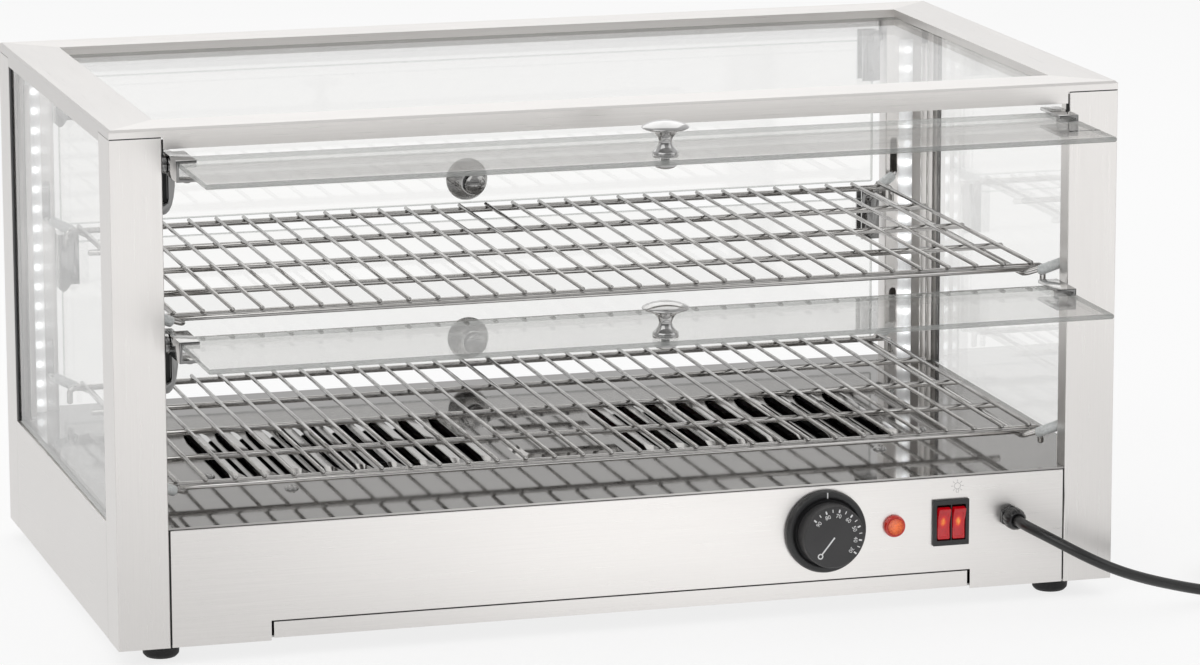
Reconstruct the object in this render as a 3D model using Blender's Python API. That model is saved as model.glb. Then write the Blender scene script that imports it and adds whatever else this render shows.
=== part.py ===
"""Heated counter-top display cabinet with four glass flaps, two wire racks and a crumb tray.

Metres, +Z up, +Y towards the back. The origin is the centre of the bounding box on the table,
measured without the mains cord. The two front flaps rest open and the two rear flaps rest closed.
"""
import math

import bpy
import bmesh
from mathutils import Vector

# Driving dimensions of the cabinet
BODY_WIDTH = 0.800
BODY_DEPTH = 0.456
BODY_HEIGHT = 0.399
FOOT_HEIGHT = 0.014
BASE_HEIGHT = 0.091
SHEET = 0.0015
GLASS = 0.004
SEAT_GAP = 0.0003
CUT_OVERRUN = 0.004

# Corner posts, folded from sheet
POST_WIDTH = 0.040
POST_DEPTH = 0.040
POST_RETURN = 0.018
POST_FLANGE_EDGE = 0.008
POST_BEND_RADIUS = 0.0022
HOOK_SLOT_WIDTH = 0.0064
HOOK_SLOT_HEIGHT = 0.034
HOOK_SLOT_INSET = 0.033

# Top cap and its window
CAP_BORDER = 0.042
CAP_FRONT_DROP = 0.016
CAP_SIDE_DROP = 0.014
CAP_CORNER_DROP = 0.007
CAP_LIP_DROP = 0.0066
CAP_EDGE_RADIUS = 0.0018
TOP_GLASS_OVERLAP = 0.011
PANEL_GAP = 0.0013

# Base panels
PANEL_LIP = 0.014
SIDE_GLASS_TUCK = 0.020
SIDE_GLASS_TOP_GAP = 0.004
PAN_LIFT = 0.0018
PAN_FRONT_SETBACK = 0.0030

# Doors, their clamps and hinges
DOOR_SIDE_CLEARANCE = 0.007
DOOR_SPACING = 0.011
DOOR_BOTTOM_GAP = 0.006
DOOR_TOP_DROP = 0.028
DOOR_TOP_SETBACK = 0.003
DOOR_PIVOT_INSET = 0.006
DOOR_FACE_OFFSET = 0.0054
DOOR_EDGE_RADIUS = 0.0011
CLAMP_LENGTH = 0.043
CLAMP_TAIL = 0.006
CLAMP_HEIGHT = 0.0164
CLAMP_REACH = 0.013
CLAMP_WALL = 0.0024
CLAMP_EDGE_RADIUS = 0.0007
HINGE_PIN_RADIUS = 0.0025
HINGE_PIN_CLEARANCE = 0.0004
HINGE_PIN_TIP = 0.0040
HINGE_BUSH_RADIUS = 0.0042
CLAMP_SCREW_RADIUS = 0.0034
CLAMP_SCREW_HEIGHT = 0.0014
CLAMP_SCREW_SPACING = 0.030
HINGE_BODY_WIDTH = 0.0127
HINGE_BODY_DEPTH = 0.0110
HINGE_BODY_DROP = 0.0405
HINGE_EAR = 0.0031
HINGE_EAR_RADIUS = 0.0075
HINGE_POCKET_WIDTH = 0.0064
HINGE_POCKET_HEIGHT = 0.024
HINGE_POCKET_INSET = 0.0014
HINGE_POCKET_DEPTH = 0.0050

# Door knobs, turned
KNOB_FROM_EDGE = 0.016
KNOB_HEIGHT = 0.0275
KNOB_HEAD_RADIUS = 0.0180
KNOB_NECK_RADIUS = 0.0050
KNOB_BASE_RADIUS = 0.0100
KNOB_STEM_RADIUS = 0.0029
KNOB_WASHER_RADIUS = 0.0085
KNOB_SCREW_DEPTH = 0.0050

# Wire racks
RACK_ROD_RADIUS = 0.0025
RACK_WIRE_RADIUS = 0.0016
RACK_RAIL_RADIUS = 0.0020
RACK_BITE = 0.0006
RACK_END_INSET = 0.026
RACK_ROD_CLEARANCE = 0.004
RACK_WIRE_INSET = 0.011
RACK_WIRE_PITCH = 0.023
RACK_RODS = 5
RACK_SIDE_ROD_INSET = 0.007
RACK_LEG_DROP = 0.013
RACK_RAIL_STEP = 0.006
RACK_WIRE_OVERHANG = 0.0045
HOOK_RISE = 0.0070
HOOK_TIP = 0.0035
UPPER_RACK_OVER_PIVOT = 0.013
LOWER_RACK_OVER_BASE = 0.025

# Floor plate with its louvres and raised centre
FLOOR_SHEET = 0.0015
FLOOR_END_GAP = 0.0060
LOUVRE_HUMP_GAP = 0.0233
LOUVRE_SIDE_MARGIN = 0.115
LOUVRE_PITCH = 0.0256
LOUVRE_END_INSET = 0.136
LOUVRE_WIDTH = 0.0180
LOUVRE_END = 0.0140
LOUVRE_MOUTH_INSET = 0.0046
LOUVRE_RISE = 0.0055
LOUVRE_HOOD_SHEET = 0.0009
HUMP_WIDTH = 0.088
HUMP_LENGTH = 0.146
HUMP_SETBACK = 0.017
HUMP_RISE = 0.0045
HUMP_DRAFT = 0.006
HUMP_CORNER = 0.012
FLOOR_SCREW_RADIUS = 0.0052
FLOOR_SCREW_RISE = 0.0028
FLOOR_SCREW_INSETS = ((0.159, 0.103), (0.105, 0.160))

# Crumb tray
TRAY_SIDE_GAP = 0.002
TRAY_NOTCH_INSET = 0.1185
TRAY_NOTCH_HEIGHT = 0.0155
TRAY_FRONT_HEIGHT = 0.0125
TRAY_FRONT_LIFT = 0.0018
TRAY_WALL_HEIGHT = 0.0100
TRAY_SHEET = 0.0010
TRAY_SIDE_SETBACK = 0.006
TRAY_REAR_INSET = 0.066
TRAY_FRONT_SETBACK = 0.0010

# Controls on the front panel
KNOB_INSET = 0.239
CONTROL_DROP = 0.0360
BEZEL_RADIUS = 0.0328
BEZEL_THICKNESS = 0.0065
BEZEL_BORE = 0.0080
BEZEL_CHAMFER = 0.0022
DIAL_RADIUS = 0.0248
DIAL_HEIGHT = 0.0175
DIAL_HUB_RADIUS = 0.0068
DIAL_EDGE = 0.0018
DIAL_BORE_DEPTH = 0.0030
SHAFT_RADIUS = 0.0030
SHAFT_HOLE_RADIUS = 0.0055
THERMOSTAT_SIZE = 0.036
THERMOSTAT_DEPTH = 0.034
LAMP_INSET = 0.182
LAMP_RADIUS = 0.0088
LAMP_PROUD = 0.0060
LAMP_BARREL_RADIUS = 0.0072
LAMP_HOLE_RADIUS = 0.0075
LAMP_BARREL_LENGTH = 0.026
SWITCH_INSET = 0.1353
SWITCH_WIDTH = 0.030
SWITCH_HEIGHT = 0.037
SWITCH_BEZEL = 0.0026
SWITCH_BODY_WIDTH = 0.0268
SWITCH_BODY_HEIGHT = 0.0330
SWITCH_BODY_DEPTH = 0.024
SWITCH_HOLE_CLEARANCE = 0.0003
SWITCH_CAVITY_DEPTH = 0.0110
ROCKER_SPACING = 0.0124
ROCKER_WIDTH = 0.0098
ROCKER_SIDE_GAP = 0.0008
ROCKER_LENGTH = 0.0255
ROCKER_CLEARANCE = 0.0005
ROCKER_PIVOT_DEPTH = 0.0008
ROCKER_PROUD = 0.0052
ROCKER_DISH = 0.0016
ROCKER_BACK = 0.0040
ROCKER_TILT = math.radians(9.0)
GLAND_INSET = 0.0855
GLAND_DROP = 0.0345
GLAND_HOLE_RADIUS = 0.0078
GLAND_THREAD_RADIUS = 0.0075
GLAND_HEX_RADIUS = 0.0094
GLAND_HEX_LENGTH = 0.0045
GLAND_NECK_RADIUS = 0.0076
GLAND_NECK_LENGTH = 0.0020
GLAND_DOME_RADIUS = 0.0087
GLAND_DOME_LENGTH = 0.0115
GLAND_MOUTH_RADIUS = 0.0062
GLAND_NUT_LENGTH = 0.0050

# Parts inside the base and the cabinet
HEATER_RADIUS = 0.0042
HEATER_HALF_SPAN = 0.048
HEATER_BEND_RADIUS = 0.018
HEATER_END_INSET = 0.0074
TERMINAL_WIDTH = 0.048
TERMINAL_DEPTH = 0.026
TERMINAL_HEIGHT = 0.022
TERMINAL_FRONT = -0.130
DRIVER_WIDTH = 0.048
DRIVER_DEPTH = 0.140
DRIVER_HEIGHT = 0.028
DRIVER_FRONT = -0.040
WIRING_BAY_INSET = 0.074
LED_WIDTH = 0.0112
LED_DEPTH = 0.0062
LED_INSET = 0.0230
LED_TOP_GAP = 0.014
LED_FACE_RADIUS = 0.0030

# Feet
FOOT_INSET_X = 0.039
FOOT_INSET_Y = 0.033
FOOT_TOP_RADIUS = 0.0145
FOOT_BOTTOM_RADIUS = 0.0140
FOOT_SOLE_EDGE = 0.0028
FOOT_NECK_RADIUS = 0.0050
FOOT_EDGE = 0.0008

# Mains cord, 1.8 m with its coil, and its plug
CORD_RADIUS = 0.00425
CORD_SPACING = 0.0092
COIL_TURNS_PER_LAYER = 2.48
COIL_INNER_RADIUS = 0.0365
COIL_POINTS_PER_TURN = 24
COIL_CENTRE_X = 0.5480
COIL_CENTRE_Y = -0.1700
PLUG_RADIUS = 0.0185
PLUG_BODY_LENGTH = 0.034
PLUG_NECK_RADIUS = 0.0085
PLUG_NECK_LENGTH = 0.020
PLUG_FACE_RADIUS = 0.0165
PLUG_PIN_RADIUS = 0.0024
PLUG_PIN_LENGTH = 0.019
PLUG_PIN_SPACING = 0.019
PLUG_LIFT = 0.0008
LEAD_POINTS = 24

# Places that several parts share
ZERO = Vector((0.0, 0.0, 0.0))
X_AXIS = Vector((1.0, 0.0, 0.0))
Y_AXIS = Vector((0.0, 1.0, 0.0))
Z_AXIS = Vector((0.0, 0.0, 1.0))
HALF_WIDTH = BODY_WIDTH / 2
HALF_DEPTH = BODY_DEPTH / 2
UPPER_PIVOT_HEIGHT = BODY_HEIGHT - DOOR_TOP_DROP
DOOR_PITCH = (UPPER_PIVOT_HEIGHT - BASE_HEIGHT - DOOR_BOTTOM_GAP) / 2
LOWER_PIVOT_HEIGHT = UPPER_PIVOT_HEIGHT - DOOR_PITCH
DOOR_LENGTH = DOOR_PITCH - DOOR_SPACING
PIVOT_Y = HALF_DEPTH - DOOR_PIVOT_INSET
FRONT_REACH = PIVOT_Y + DOOR_LENGTH
REAR_REACH = PIVOT_Y + DOOR_FACE_OFFSET + KNOB_HEIGHT
MID_Y = (FRONT_REACH - REAR_REACH) / 2
FRONT_Y = MID_Y - HALF_DEPTH
REAR_Y = MID_Y + HALF_DEPTH
BASE_Z = FOOT_HEIGHT
BASE_TOP = BASE_Z + BASE_HEIGHT
TOP_Z = BASE_Z + BODY_HEIGHT
POST_INNER_X = HALF_WIDTH - POST_WIDTH
FLANGE_Y = HALF_DEPTH - POST_RETURN
DOOR_WIDTH = 2 * (POST_INNER_X - DOOR_SIDE_CLEARANCE)
RACK_HALF_DEPTH = FLANGE_Y - RACK_END_INSET
RACK_ROD_REACH = POST_INNER_X - RACK_ROD_CLEARANCE
RACK_FIRST_WIRE = RACK_ROD_REACH - RACK_WIRE_INSET
RACK_WIRES = round(2 * RACK_FIRST_WIRE / RACK_WIRE_PITCH) + 1
RACK_SIDE_ROD = RACK_FIRST_WIRE - RACK_SIDE_ROD_INSET
UPPER_RACK_HEIGHT = LOWER_PIVOT_HEIGHT + UPPER_RACK_OVER_PIVOT
LOWER_RACK_HEIGHT = BASE_HEIGHT + LOWER_RACK_OVER_BASE
LOUVRE_LENGTH = 2 * (HALF_DEPTH - LOUVRE_END_INSET)
LOUVRE_FIRST_X = HUMP_WIDTH / 2 + LOUVRE_HUMP_GAP
LOUVRES_PER_GROUP = math.floor((HALF_WIDTH - LOUVRE_SIDE_MARGIN - LOUVRE_FIRST_X) / LOUVRE_PITCH) + 1
LOUVRE_GROUP_CENTRE = LOUVRE_FIRST_X + (LOUVRES_PER_GROUP - 1) / 2 * LOUVRE_PITCH
HEATER_LENGTH = (LOUVRES_PER_GROUP - 1) * LOUVRE_PITCH - 2 * HEATER_END_INSET
TRAY_DEPTH = BODY_DEPTH - TRAY_REAR_INSET
TRAY_NOTCH_HALF_WIDTH = HALF_WIDTH - TRAY_NOTCH_INSET
TRAY_HALF_WIDTH = TRAY_NOTCH_HALF_WIDTH - TRAY_SIDE_GAP
KNOB_X = HALF_WIDTH - KNOB_INSET
LAMP_X = HALF_WIDTH - LAMP_INSET
SWITCH_X = HALF_WIDTH - SWITCH_INSET
GLAND_X = HALF_WIDTH - GLAND_INSET
WIRING_BAY_X = HALF_WIDTH - WIRING_BAY_INSET
FLOOR_Z = BASE_TOP + SEAT_GAP
FLOOR_TOP = FLOOR_Z + FLOOR_SHEET
PAN_TOP = BASE_Z + PAN_LIFT + SHEET
CONTROL_Z = BASE_TOP - CONTROL_DROP
GLAND_Z = BASE_TOP - GLAND_DROP


def clear_scene():
    for old in list(bpy.data.objects):
        bpy.data.objects.remove(old, do_unlink=True)


def material(name, colour, roughness, metallic, alpha=1.0):
    made = bpy.data.materials.new(name)
    made.use_nodes = True
    shader = made.node_tree.nodes["Principled BSDF"]
    shader.inputs["Base Color"].default_value = (*colour, 1.0)
    shader.inputs["Roughness"].default_value = roughness
    shader.inputs["Metallic"].default_value = metallic
    shader.inputs["Alpha"].default_value = alpha
    made.diffuse_color = (*colour, alpha)
    return made


def new_object(name, bm, surface, origin=ZERO, smooth=True):
    bmesh.ops.recalc_face_normals(bm, faces=bm.faces)
    bmesh.ops.translate(bm, verts=bm.verts, vec=-origin)
    mesh = bpy.data.meshes.new(name)
    bm.to_mesh(mesh)
    bm.free()
    if surface is not None:
        mesh.materials.append(surface)
    if smooth:
        mesh.shade_smooth()
        mesh.set_sharp_from_angle(angle=SMOOTH_ANGLE)
    made = bpy.data.objects.new(name, mesh)
    made.location = origin
    bpy.context.scene.collection.objects.link(made)
    return made


SMOOTH_ANGLE = math.radians(32.0)


def hidden_tool(made):
    made.hide_render = True
    made.display_type = "WIRE"
    return made


def boolean(target, tool, operation):
    change = target.modifiers.new(operation.lower(), "BOOLEAN")
    change.operation = operation
    change.solver = "EXACT"
    change.object = hidden_tool(tool)


def add_box(bm, low, high):
    corners = [(x, y, z) for x in (low[0], high[0]) for y in (low[1], high[1]) for z in (low[2], high[2])]
    verts = [bm.verts.new(corner) for corner in corners]
    for face in ((0, 1, 3, 2), (4, 6, 7, 5), (0, 4, 5, 1), (2, 3, 7, 6), (0, 2, 6, 4), (1, 5, 7, 3)):
        bm.faces.new([verts[i] for i in face])
    return verts


def box(name, low, high, surface, edge_radius=0.0, segments=1, origin=ZERO):
    bm = bmesh.new()
    add_box(bm, low, high)
    if edge_radius:
        bmesh.ops.bevel(bm, geom=bm.edges[:], offset=edge_radius, segments=segments, affect="EDGES")
    return new_object(name, bm, surface, origin)


def add_prism(bm, outline, start, end, u_axis, v_axis, depth_axis):
    rings = []
    for depth in (start, end):
        rings.append([bm.verts.new(u_axis * u + v_axis * v + depth_axis * depth) for u, v in outline])
    bm.faces.new(rings[0])
    bm.faces.new(list(reversed(rings[1])))
    count = len(outline)
    for i in range(count):
        j = (i + 1) % count
        bm.faces.new((rings[0][i], rings[1][i], rings[1][j], rings[0][j]))


def prism(name, outline, start, end, axes, surface, origin=ZERO, smooth=True):
    bm = bmesh.new()
    add_prism(bm, outline, start, end, *axes)
    return new_object(name, bm, surface, origin, smooth)


PLAN = (X_AXIS, Y_AXIS, Z_AXIS)
FRONT_VIEW = (X_AXIS, Z_AXIS, Y_AXIS)
SIDE_VIEW = (Y_AXIS, Z_AXIS, X_AXIS)


def fillet(outline, radius, steps=2):
    """Round every corner of a closed outline by the same radius."""
    rounded = []
    count = len(outline)
    for i in range(count):
        corner = Vector(outline[i])
        before = Vector(outline[i - 1]) - corner
        after = Vector(outline[(i + 1) % count]) - corner
        half_angle = before.angle(after) / 2
        reach = min(radius / math.tan(half_angle), before.length / 2, after.length / 2)
        start = corner + before.normalized() * reach
        end = corner + after.normalized() * reach
        for k in range(steps + 1):
            t = k / steps
            rounded.append((start * (1 - t) + corner * t) * (1 - t) + (corner * (1 - t) + end * t) * t)
    return [(p.x, p.y) for p in rounded]


def rectangle(low_u, high_u, low_v, high_v):
    return [(low_u, low_v), (high_u, low_v), (high_u, high_v), (low_u, high_v)]


def stadium(centre_u, centre_v, width, height, steps=4):
    """A slot outline with round ends, upright."""
    radius = width / 2
    rise = height / 2 - radius
    points = []
    for side, start in ((1, 0.0), (-1, math.pi)):
        for k in range(steps + 1):
            angle = start + math.pi * k / steps
            points.append((centre_u + radius * math.cos(angle), centre_v + side * rise + radius * math.sin(angle)))
    return points


def side_vectors(direction):
    helper = Z_AXIS if abs(direction.z) < abs(direction.x) + abs(direction.y) else X_AXIS
    across = direction.cross(helper).normalized()
    return across, direction.cross(across).normalized()


def add_lathe(bm, profile, centre, axis, segments, closed=False):
    """Turn a list of (radius, height) about an axis; a closed profile makes a ring."""
    across, up = side_vectors(axis)
    rings = []
    for radius, height in profile:
        foot = centre + axis * height
        if radius == 0.0:
            rings.append([bm.verts.new(foot)])
            continue
        ring = []
        for k in range(segments):
            angle = 2 * math.pi * (k + 0.5) / segments
            ring.append(bm.verts.new(foot + across * radius * math.cos(angle) + up * radius * math.sin(angle)))
        rings.append(ring)
    pairs = list(zip(rings, rings[1:]))
    if closed:
        pairs.append((rings[-1], rings[0]))
    for first, second in pairs:
        for k in range(segments):
            n = (k + 1) % segments
            if len(first) == 1:
                bm.faces.new((first[0], second[k], second[n]))
            elif len(second) == 1:
                bm.faces.new((first[k], second[0], first[n]))
            else:
                bm.faces.new((first[k], second[k], second[n], first[n]))
    if not closed:
        for ring in (rings[0], rings[-1]):
            if len(ring) > 1:
                bm.faces.new(ring)


def lathe(name, profile, centre, axis, segments, surface, closed=False, origin=ZERO):
    bm = bmesh.new()
    add_lathe(bm, profile, centre, axis, segments, closed)
    return new_object(name, bm, surface, origin)


def add_tube(bm, points, radius, sides):
    """A round bar through the points, with flat ends."""
    path = [Vector(point) for point in points]
    tangent = (path[1] - path[0]).normalized()
    across = side_vectors(tangent)[0]
    rings = []
    for i, point in enumerate(path):
        before = path[i] - path[max(i - 1, 0)]
        after = path[min(i + 1, len(path) - 1)] - path[i]
        tangent = (before.normalized() + after.normalized()).normalized()
        across = (across - tangent * across.dot(tangent)).normalized()
        up = tangent.cross(across)
        bend = before.angle(after) if 0 < i < len(path) - 1 else 0.0
        ring = []
        for k in range(sides):
            angle = 2 * math.pi * (k + sides % 4 / 4 + 0.5) / sides
            offset = across * math.cos(angle) + up * math.sin(angle)
            if bend:
                inward = (after.normalized() - before.normalized()).normalized()
                offset += inward * offset.dot(inward) * (1 / math.cos(bend / 2) - 1)
            ring.append(bm.verts.new(point + offset * radius))
        rings.append(ring)
    for first, second in zip(rings, rings[1:]):
        for k in range(sides):
            n = (k + 1) % sides
            bm.faces.new((first[k], second[k], second[n], first[n]))
    bm.faces.new(rings[0])
    bm.faces.new(rings[-1])


def bent(points, radius, steps=3):
    """Points of a bar whose corners are bent to a radius."""
    path = [Vector(point) for point in points]
    out = [path[0]]
    for before, corner, after in zip(path, path[1:], path[2:]):
        to_before = before - corner
        to_after = after - corner
        reach = min(radius / math.tan(to_before.angle(to_after) / 2), to_before.length / 2, to_after.length / 2)
        start = corner + to_before.normalized() * reach
        end = corner + to_after.normalized() * reach
        for k in range(steps + 1):
            t = k / steps
            out.append((start * (1 - t) + corner * t) * (1 - t) + (corner * (1 - t) + end * t) * t)
    out.append(path[-1])
    return out


def pivot_empty(name, place):
    made = bpy.data.objects.new(name, None)
    made.location = place
    bpy.context.scene.collection.objects.link(made)
    return made


def hang_on(made, empty):
    """Parent a piece whose origin lies on the empty."""
    made.parent = empty
    made.location = ZERO


def build_posts(steel):
    """Four folded corner posts with hook slots and hinge pin holes."""
    edge = SHEET
    profile = [(0.0, POST_DEPTH), (0.0, 0.0), (POST_WIDTH, 0.0), (POST_WIDTH, POST_RETURN),
               (POST_FLANGE_EDGE, POST_RETURN), (POST_FLANGE_EDGE, POST_RETURN - edge),
               (POST_WIDTH - edge, POST_RETURN - edge), (POST_WIDTH - edge, edge), (edge, edge),
               (edge, POST_DEPTH)]
    top = TOP_Z - CAP_CORNER_DROP - SEAT_GAP
    for row, side_y in (("front", -1), ("rear", 1)):
        for side, side_x in (("left", -1), ("right", 1)):
            outline = [(side_x * (HALF_WIDTH - u), MID_Y + side_y * (HALF_DEPTH - v)) for u, v in profile]
            post = prism("post_" + row + "_" + side, fillet(outline, edge / 3, 1), BASE_Z, top, PLAN, steel)
            bm = bmesh.new()
            for rack_z in (UPPER_RACK_HEIGHT, LOWER_RACK_HEIGHT):
                slot_low = BASE_Z + rack_z + HOOK_RISE - RACK_ROD_RADIUS - SEAT_GAP
                slot = stadium(side_x * (HALF_WIDTH - HOOK_SLOT_INSET), slot_low + HOOK_SLOT_HEIGHT / 2,
                               HOOK_SLOT_WIDTH, HOOK_SLOT_HEIGHT)
                flange = MID_Y + side_y * FLANGE_Y
                add_prism(bm, slot, flange - CUT_OVERRUN, flange + CUT_OVERRUN, *FRONT_VIEW)
            for pivot_z in (UPPER_PIVOT_HEIGHT, LOWER_PIVOT_HEIGHT):
                place = Vector((side_x * (POST_INNER_X - CUT_OVERRUN), MID_Y + side_y * PIVOT_Y, BASE_Z + pivot_z))
                radius = HINGE_PIN_RADIUS + HINGE_PIN_CLEARANCE
                add_lathe(bm, [(radius, 0.0), (radius, 2 * CUT_OVERRUN)], place, X_AXIS * side_x, 12)
            boolean(post, new_object(post.name + "_cuts", bm, None), "DIFFERENCE")


def build_cap(steel, clear):
    """Folded top frame swept round the rectangle with mitred corners, and the pane under it."""
    lip = CAP_BORDER
    section = [(0.0, CAP_FRONT_DROP), (0.0, CAP_EDGE_RADIUS), (CAP_EDGE_RADIUS, 0.0), (lip, 0.0),
               (lip, CAP_LIP_DROP), (lip - SHEET, CAP_LIP_DROP), (lip - SHEET, SHEET), (SHEET, SHEET),
               (SHEET, CAP_FRONT_DROP)]
    bm = bmesh.new()
    rings = []
    for sign_x, sign_y in ((-1, -1), (1, -1), (1, 1), (-1, 1)):
        rings.append([bm.verts.new((sign_x * (HALF_WIDTH - d), MID_Y + sign_y * (HALF_DEPTH - d), TOP_Z - drop))
                      for d, drop in section])
    for i in range(4):
        first, second = rings[i], rings[(i + 1) % 4]
        for k in range(len(section)):
            n = (k + 1) % len(section)
            bm.faces.new((first[k], first[n], second[n], second[k]))
    cap = new_object("top_cap", bm, steel)
    bm = bmesh.new()
    low = TOP_Z - CAP_FRONT_DROP - CUT_OVERRUN
    inner_x = POST_INNER_X - PANEL_GAP
    inner_y = HALF_DEPTH - POST_DEPTH - SEAT_GAP
    for sign_x in (-1, 1):
        for sign_y in (-1, 1):
            xs = sorted((sign_x * inner_x, sign_x * (HALF_WIDTH + CUT_OVERRUN)))
            ys = sorted((MID_Y + sign_y * inner_y, MID_Y + sign_y * (HALF_DEPTH + CUT_OVERRUN)))
            add_box(bm, (xs[0], ys[0], low), (xs[1], ys[1], TOP_Z - CAP_CORNER_DROP))
        xs = sorted((sign_x * (HALF_WIDTH - CAP_BORDER / 2), sign_x * (HALF_WIDTH + CUT_OVERRUN)))
        reach = inner_y - SEAT_GAP
        add_box(bm, (xs[0], MID_Y - reach, low), (xs[1], MID_Y + reach, TOP_Z - CAP_SIDE_DROP))
    boolean(cap, new_object("top_cap_cuts", bm, None, smooth=False), "DIFFERENCE")
    half_x = HALF_WIDTH - CAP_BORDER + TOP_GLASS_OVERLAP
    half_y = HALF_DEPTH - CAP_BORDER + TOP_GLASS_OVERLAP
    pane_top = TOP_Z - CAP_LIP_DROP - SEAT_GAP
    box("top_glass", (-half_x, MID_Y - half_y, pane_top - GLASS), (half_x, MID_Y + half_y, pane_top), clear,
        GLASS / 8)


def sheet_channel(outer, inward, low, high, lip):
    """Outline of an upright sheet with its top and bottom edges folded inward."""
    t = SHEET * inward
    reach = outer + lip * inward
    return [(outer, low), (outer, high), (reach, high), (reach, high - SHEET), (outer + t, high - SHEET),
            (outer + t, low + SHEET), (reach, low + SHEET), (reach, low)]


def build_sides(steel, clear):
    """Lower side panels and the fixed side panes standing on them."""
    half_y = HALF_DEPTH - POST_DEPTH - SEAT_GAP
    pane_half = HALF_DEPTH - POST_DEPTH + SIDE_GLASS_TUCK
    for side, sign in (("left", -1), ("right", 1)):
        outline = sheet_channel(sign * HALF_WIDTH, -sign, BASE_Z, BASE_TOP, PANEL_LIP)
        prism("side_panel_" + side, outline, MID_Y - half_y, MID_Y + half_y, FRONT_VIEW, steel)
        outer = HALF_WIDTH - SHEET - SEAT_GAP
        xs = sorted((sign * outer, sign * (outer - GLASS)))
        box("side_glass_" + side, (xs[0], MID_Y - pane_half, BASE_TOP + SEAT_GAP),
            (xs[1], MID_Y + pane_half, TOP_Z - SHEET - SIDE_GLASS_TOP_GAP), clear, GLASS / 8)


def upright_sheet(outer, inward, low, high, lip):
    """Outline of an upright sheet with only its top edge folded inward."""
    t = SHEET * inward
    reach = outer + lip * inward
    return [(outer, low), (outer, high), (reach, high), (reach, high - SHEET), (outer + t, high - SHEET),
            (outer + t, low)]


def build_control_panel(steel):
    """Front panel with the tray notch and a cut-out for each control."""
    half_x = POST_INNER_X - PANEL_GAP
    outline = upright_sheet(FRONT_Y, 1, BASE_Z, BASE_TOP, PANEL_LIP)
    panel = prism("control_panel", outline, -half_x, half_x, SIDE_VIEW, steel)
    bm = bmesh.new()
    front = FRONT_Y - CUT_OVERRUN
    back = FRONT_Y + SHEET + CUT_OVERRUN
    add_box(bm, (-TRAY_NOTCH_HALF_WIDTH, front, BASE_Z - CUT_OVERRUN),
            (TRAY_NOTCH_HALF_WIDTH, back, BASE_Z + TRAY_NOTCH_HEIGHT))
    half_w = SWITCH_BODY_WIDTH / 2 + SWITCH_HOLE_CLEARANCE
    half_h = SWITCH_BODY_HEIGHT / 2 + SWITCH_HOLE_CLEARANCE
    add_box(bm, (SWITCH_X - half_w, front, CONTROL_Z - half_h), (SWITCH_X + half_w, back, CONTROL_Z + half_h))
    for x, z, radius in ((KNOB_X, CONTROL_Z, SHAFT_HOLE_RADIUS), (LAMP_X, CONTROL_Z, LAMP_HOLE_RADIUS),
                         (GLAND_X, GLAND_Z, GLAND_HOLE_RADIUS)):
        add_lathe(bm, [(radius, 0.0), (radius, back - front)], Vector((x, front, z)), Y_AXIS, 20)
    boolean(panel, new_object("control_panel_cuts", bm, None, smooth=False), "DIFFERENCE")


def build_rear_panel(steel):
    half_x = POST_INNER_X - PANEL_GAP
    outline = upright_sheet(REAR_Y, -1, BASE_Z, BASE_TOP, PANEL_LIP)
    prism("rear_panel", outline, -half_x, half_x, SIDE_VIEW, steel)


def stepped_plan(half_x, half_y, narrow_x, front_y):
    """Plan of a plate that fills the cabinet and steps in between the post returns."""
    back_y = front_y
    return [(-narrow_x, MID_Y - front_y), (narrow_x, MID_Y - front_y), (narrow_x, MID_Y - half_y),
            (half_x, MID_Y - half_y), (half_x, MID_Y + half_y), (narrow_x, MID_Y + half_y),
            (narrow_x, MID_Y + back_y), (-narrow_x, MID_Y + back_y), (-narrow_x, MID_Y + half_y),
            (-half_x, MID_Y + half_y), (-half_x, MID_Y - half_y), (-narrow_x, MID_Y - half_y)]


def build_base_pan(steel):
    half_x = HALF_WIDTH - SHEET - SEAT_GAP
    low = BASE_Z + PAN_LIFT
    plan = stepped_plan(half_x, FLANGE_Y - SEAT_GAP, POST_INNER_X - SEAT_GAP, HALF_DEPTH - PAN_FRONT_SETBACK)
    prism("base_pan", plan, low, low + SHEET, PLAN, steel)


def louvre_places():
    for group in (-1, 1):
        for k in range(LOUVRES_PER_GROUP):
            yield group * LOUVRE_GROUP_CENTRE + (k - (LOUVRES_PER_GROUP - 1) / 2) * LOUVRE_PITCH


def add_hood(bm, x, y):
    """A pressed louvre hood: open along its left edge, falling to the plate on its right and ends."""
    sink = FLOOR_SHEET / 2
    tip = LOUVRE_LENGTH / 2
    rows = []
    for inset, grown in HOOD_ROW_SHARES:
        rows.append((tip - LOUVRE_END * inset, grown))
    rows = [(-reach, grown) for reach, grown in rows] + list(reversed(rows))
    grids = []
    for skin in (0.0, LOUVRE_HOOD_SHEET):
        grid = []
        for reach, grown in rows:
            row = []
            for across, up in HOOD_SECTION_SHARES:
                height = FLOOR_TOP - sink + (LOUVRE_RISE + sink) * up * grown - skin
                width = LOUVRE_WIDTH * across * max(grown, HOOD_TIP_SHARE)
                row.append(bm.verts.new((x - LOUVRE_WIDTH / 2 + width, y + reach, height)))
            grid.append(row)
        grids.append(grid)
    top, low = grids
    last, edge = len(rows) - 1, len(HOOD_SECTION_SHARES) - 1
    for i in range(last):
        for j in range(edge):
            bm.faces.new((top[i][j], top[i + 1][j], top[i + 1][j + 1], top[i][j + 1]))
            bm.faces.new((low[i][j], low[i][j + 1], low[i + 1][j + 1], low[i + 1][j]))
    border = [(i, 0) for i in range(last)] + [(last, j) for j in range(edge)]
    border += [(i, edge) for i in range(last, 0, -1)] + [(0, j) for j in range(edge, 0, -1)]
    for (i, j), (m, n) in zip(border, border[1:] + border[:1]):
        bm.faces.new((top[i][j], low[i][j], low[m][n], top[m][n]))


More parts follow.
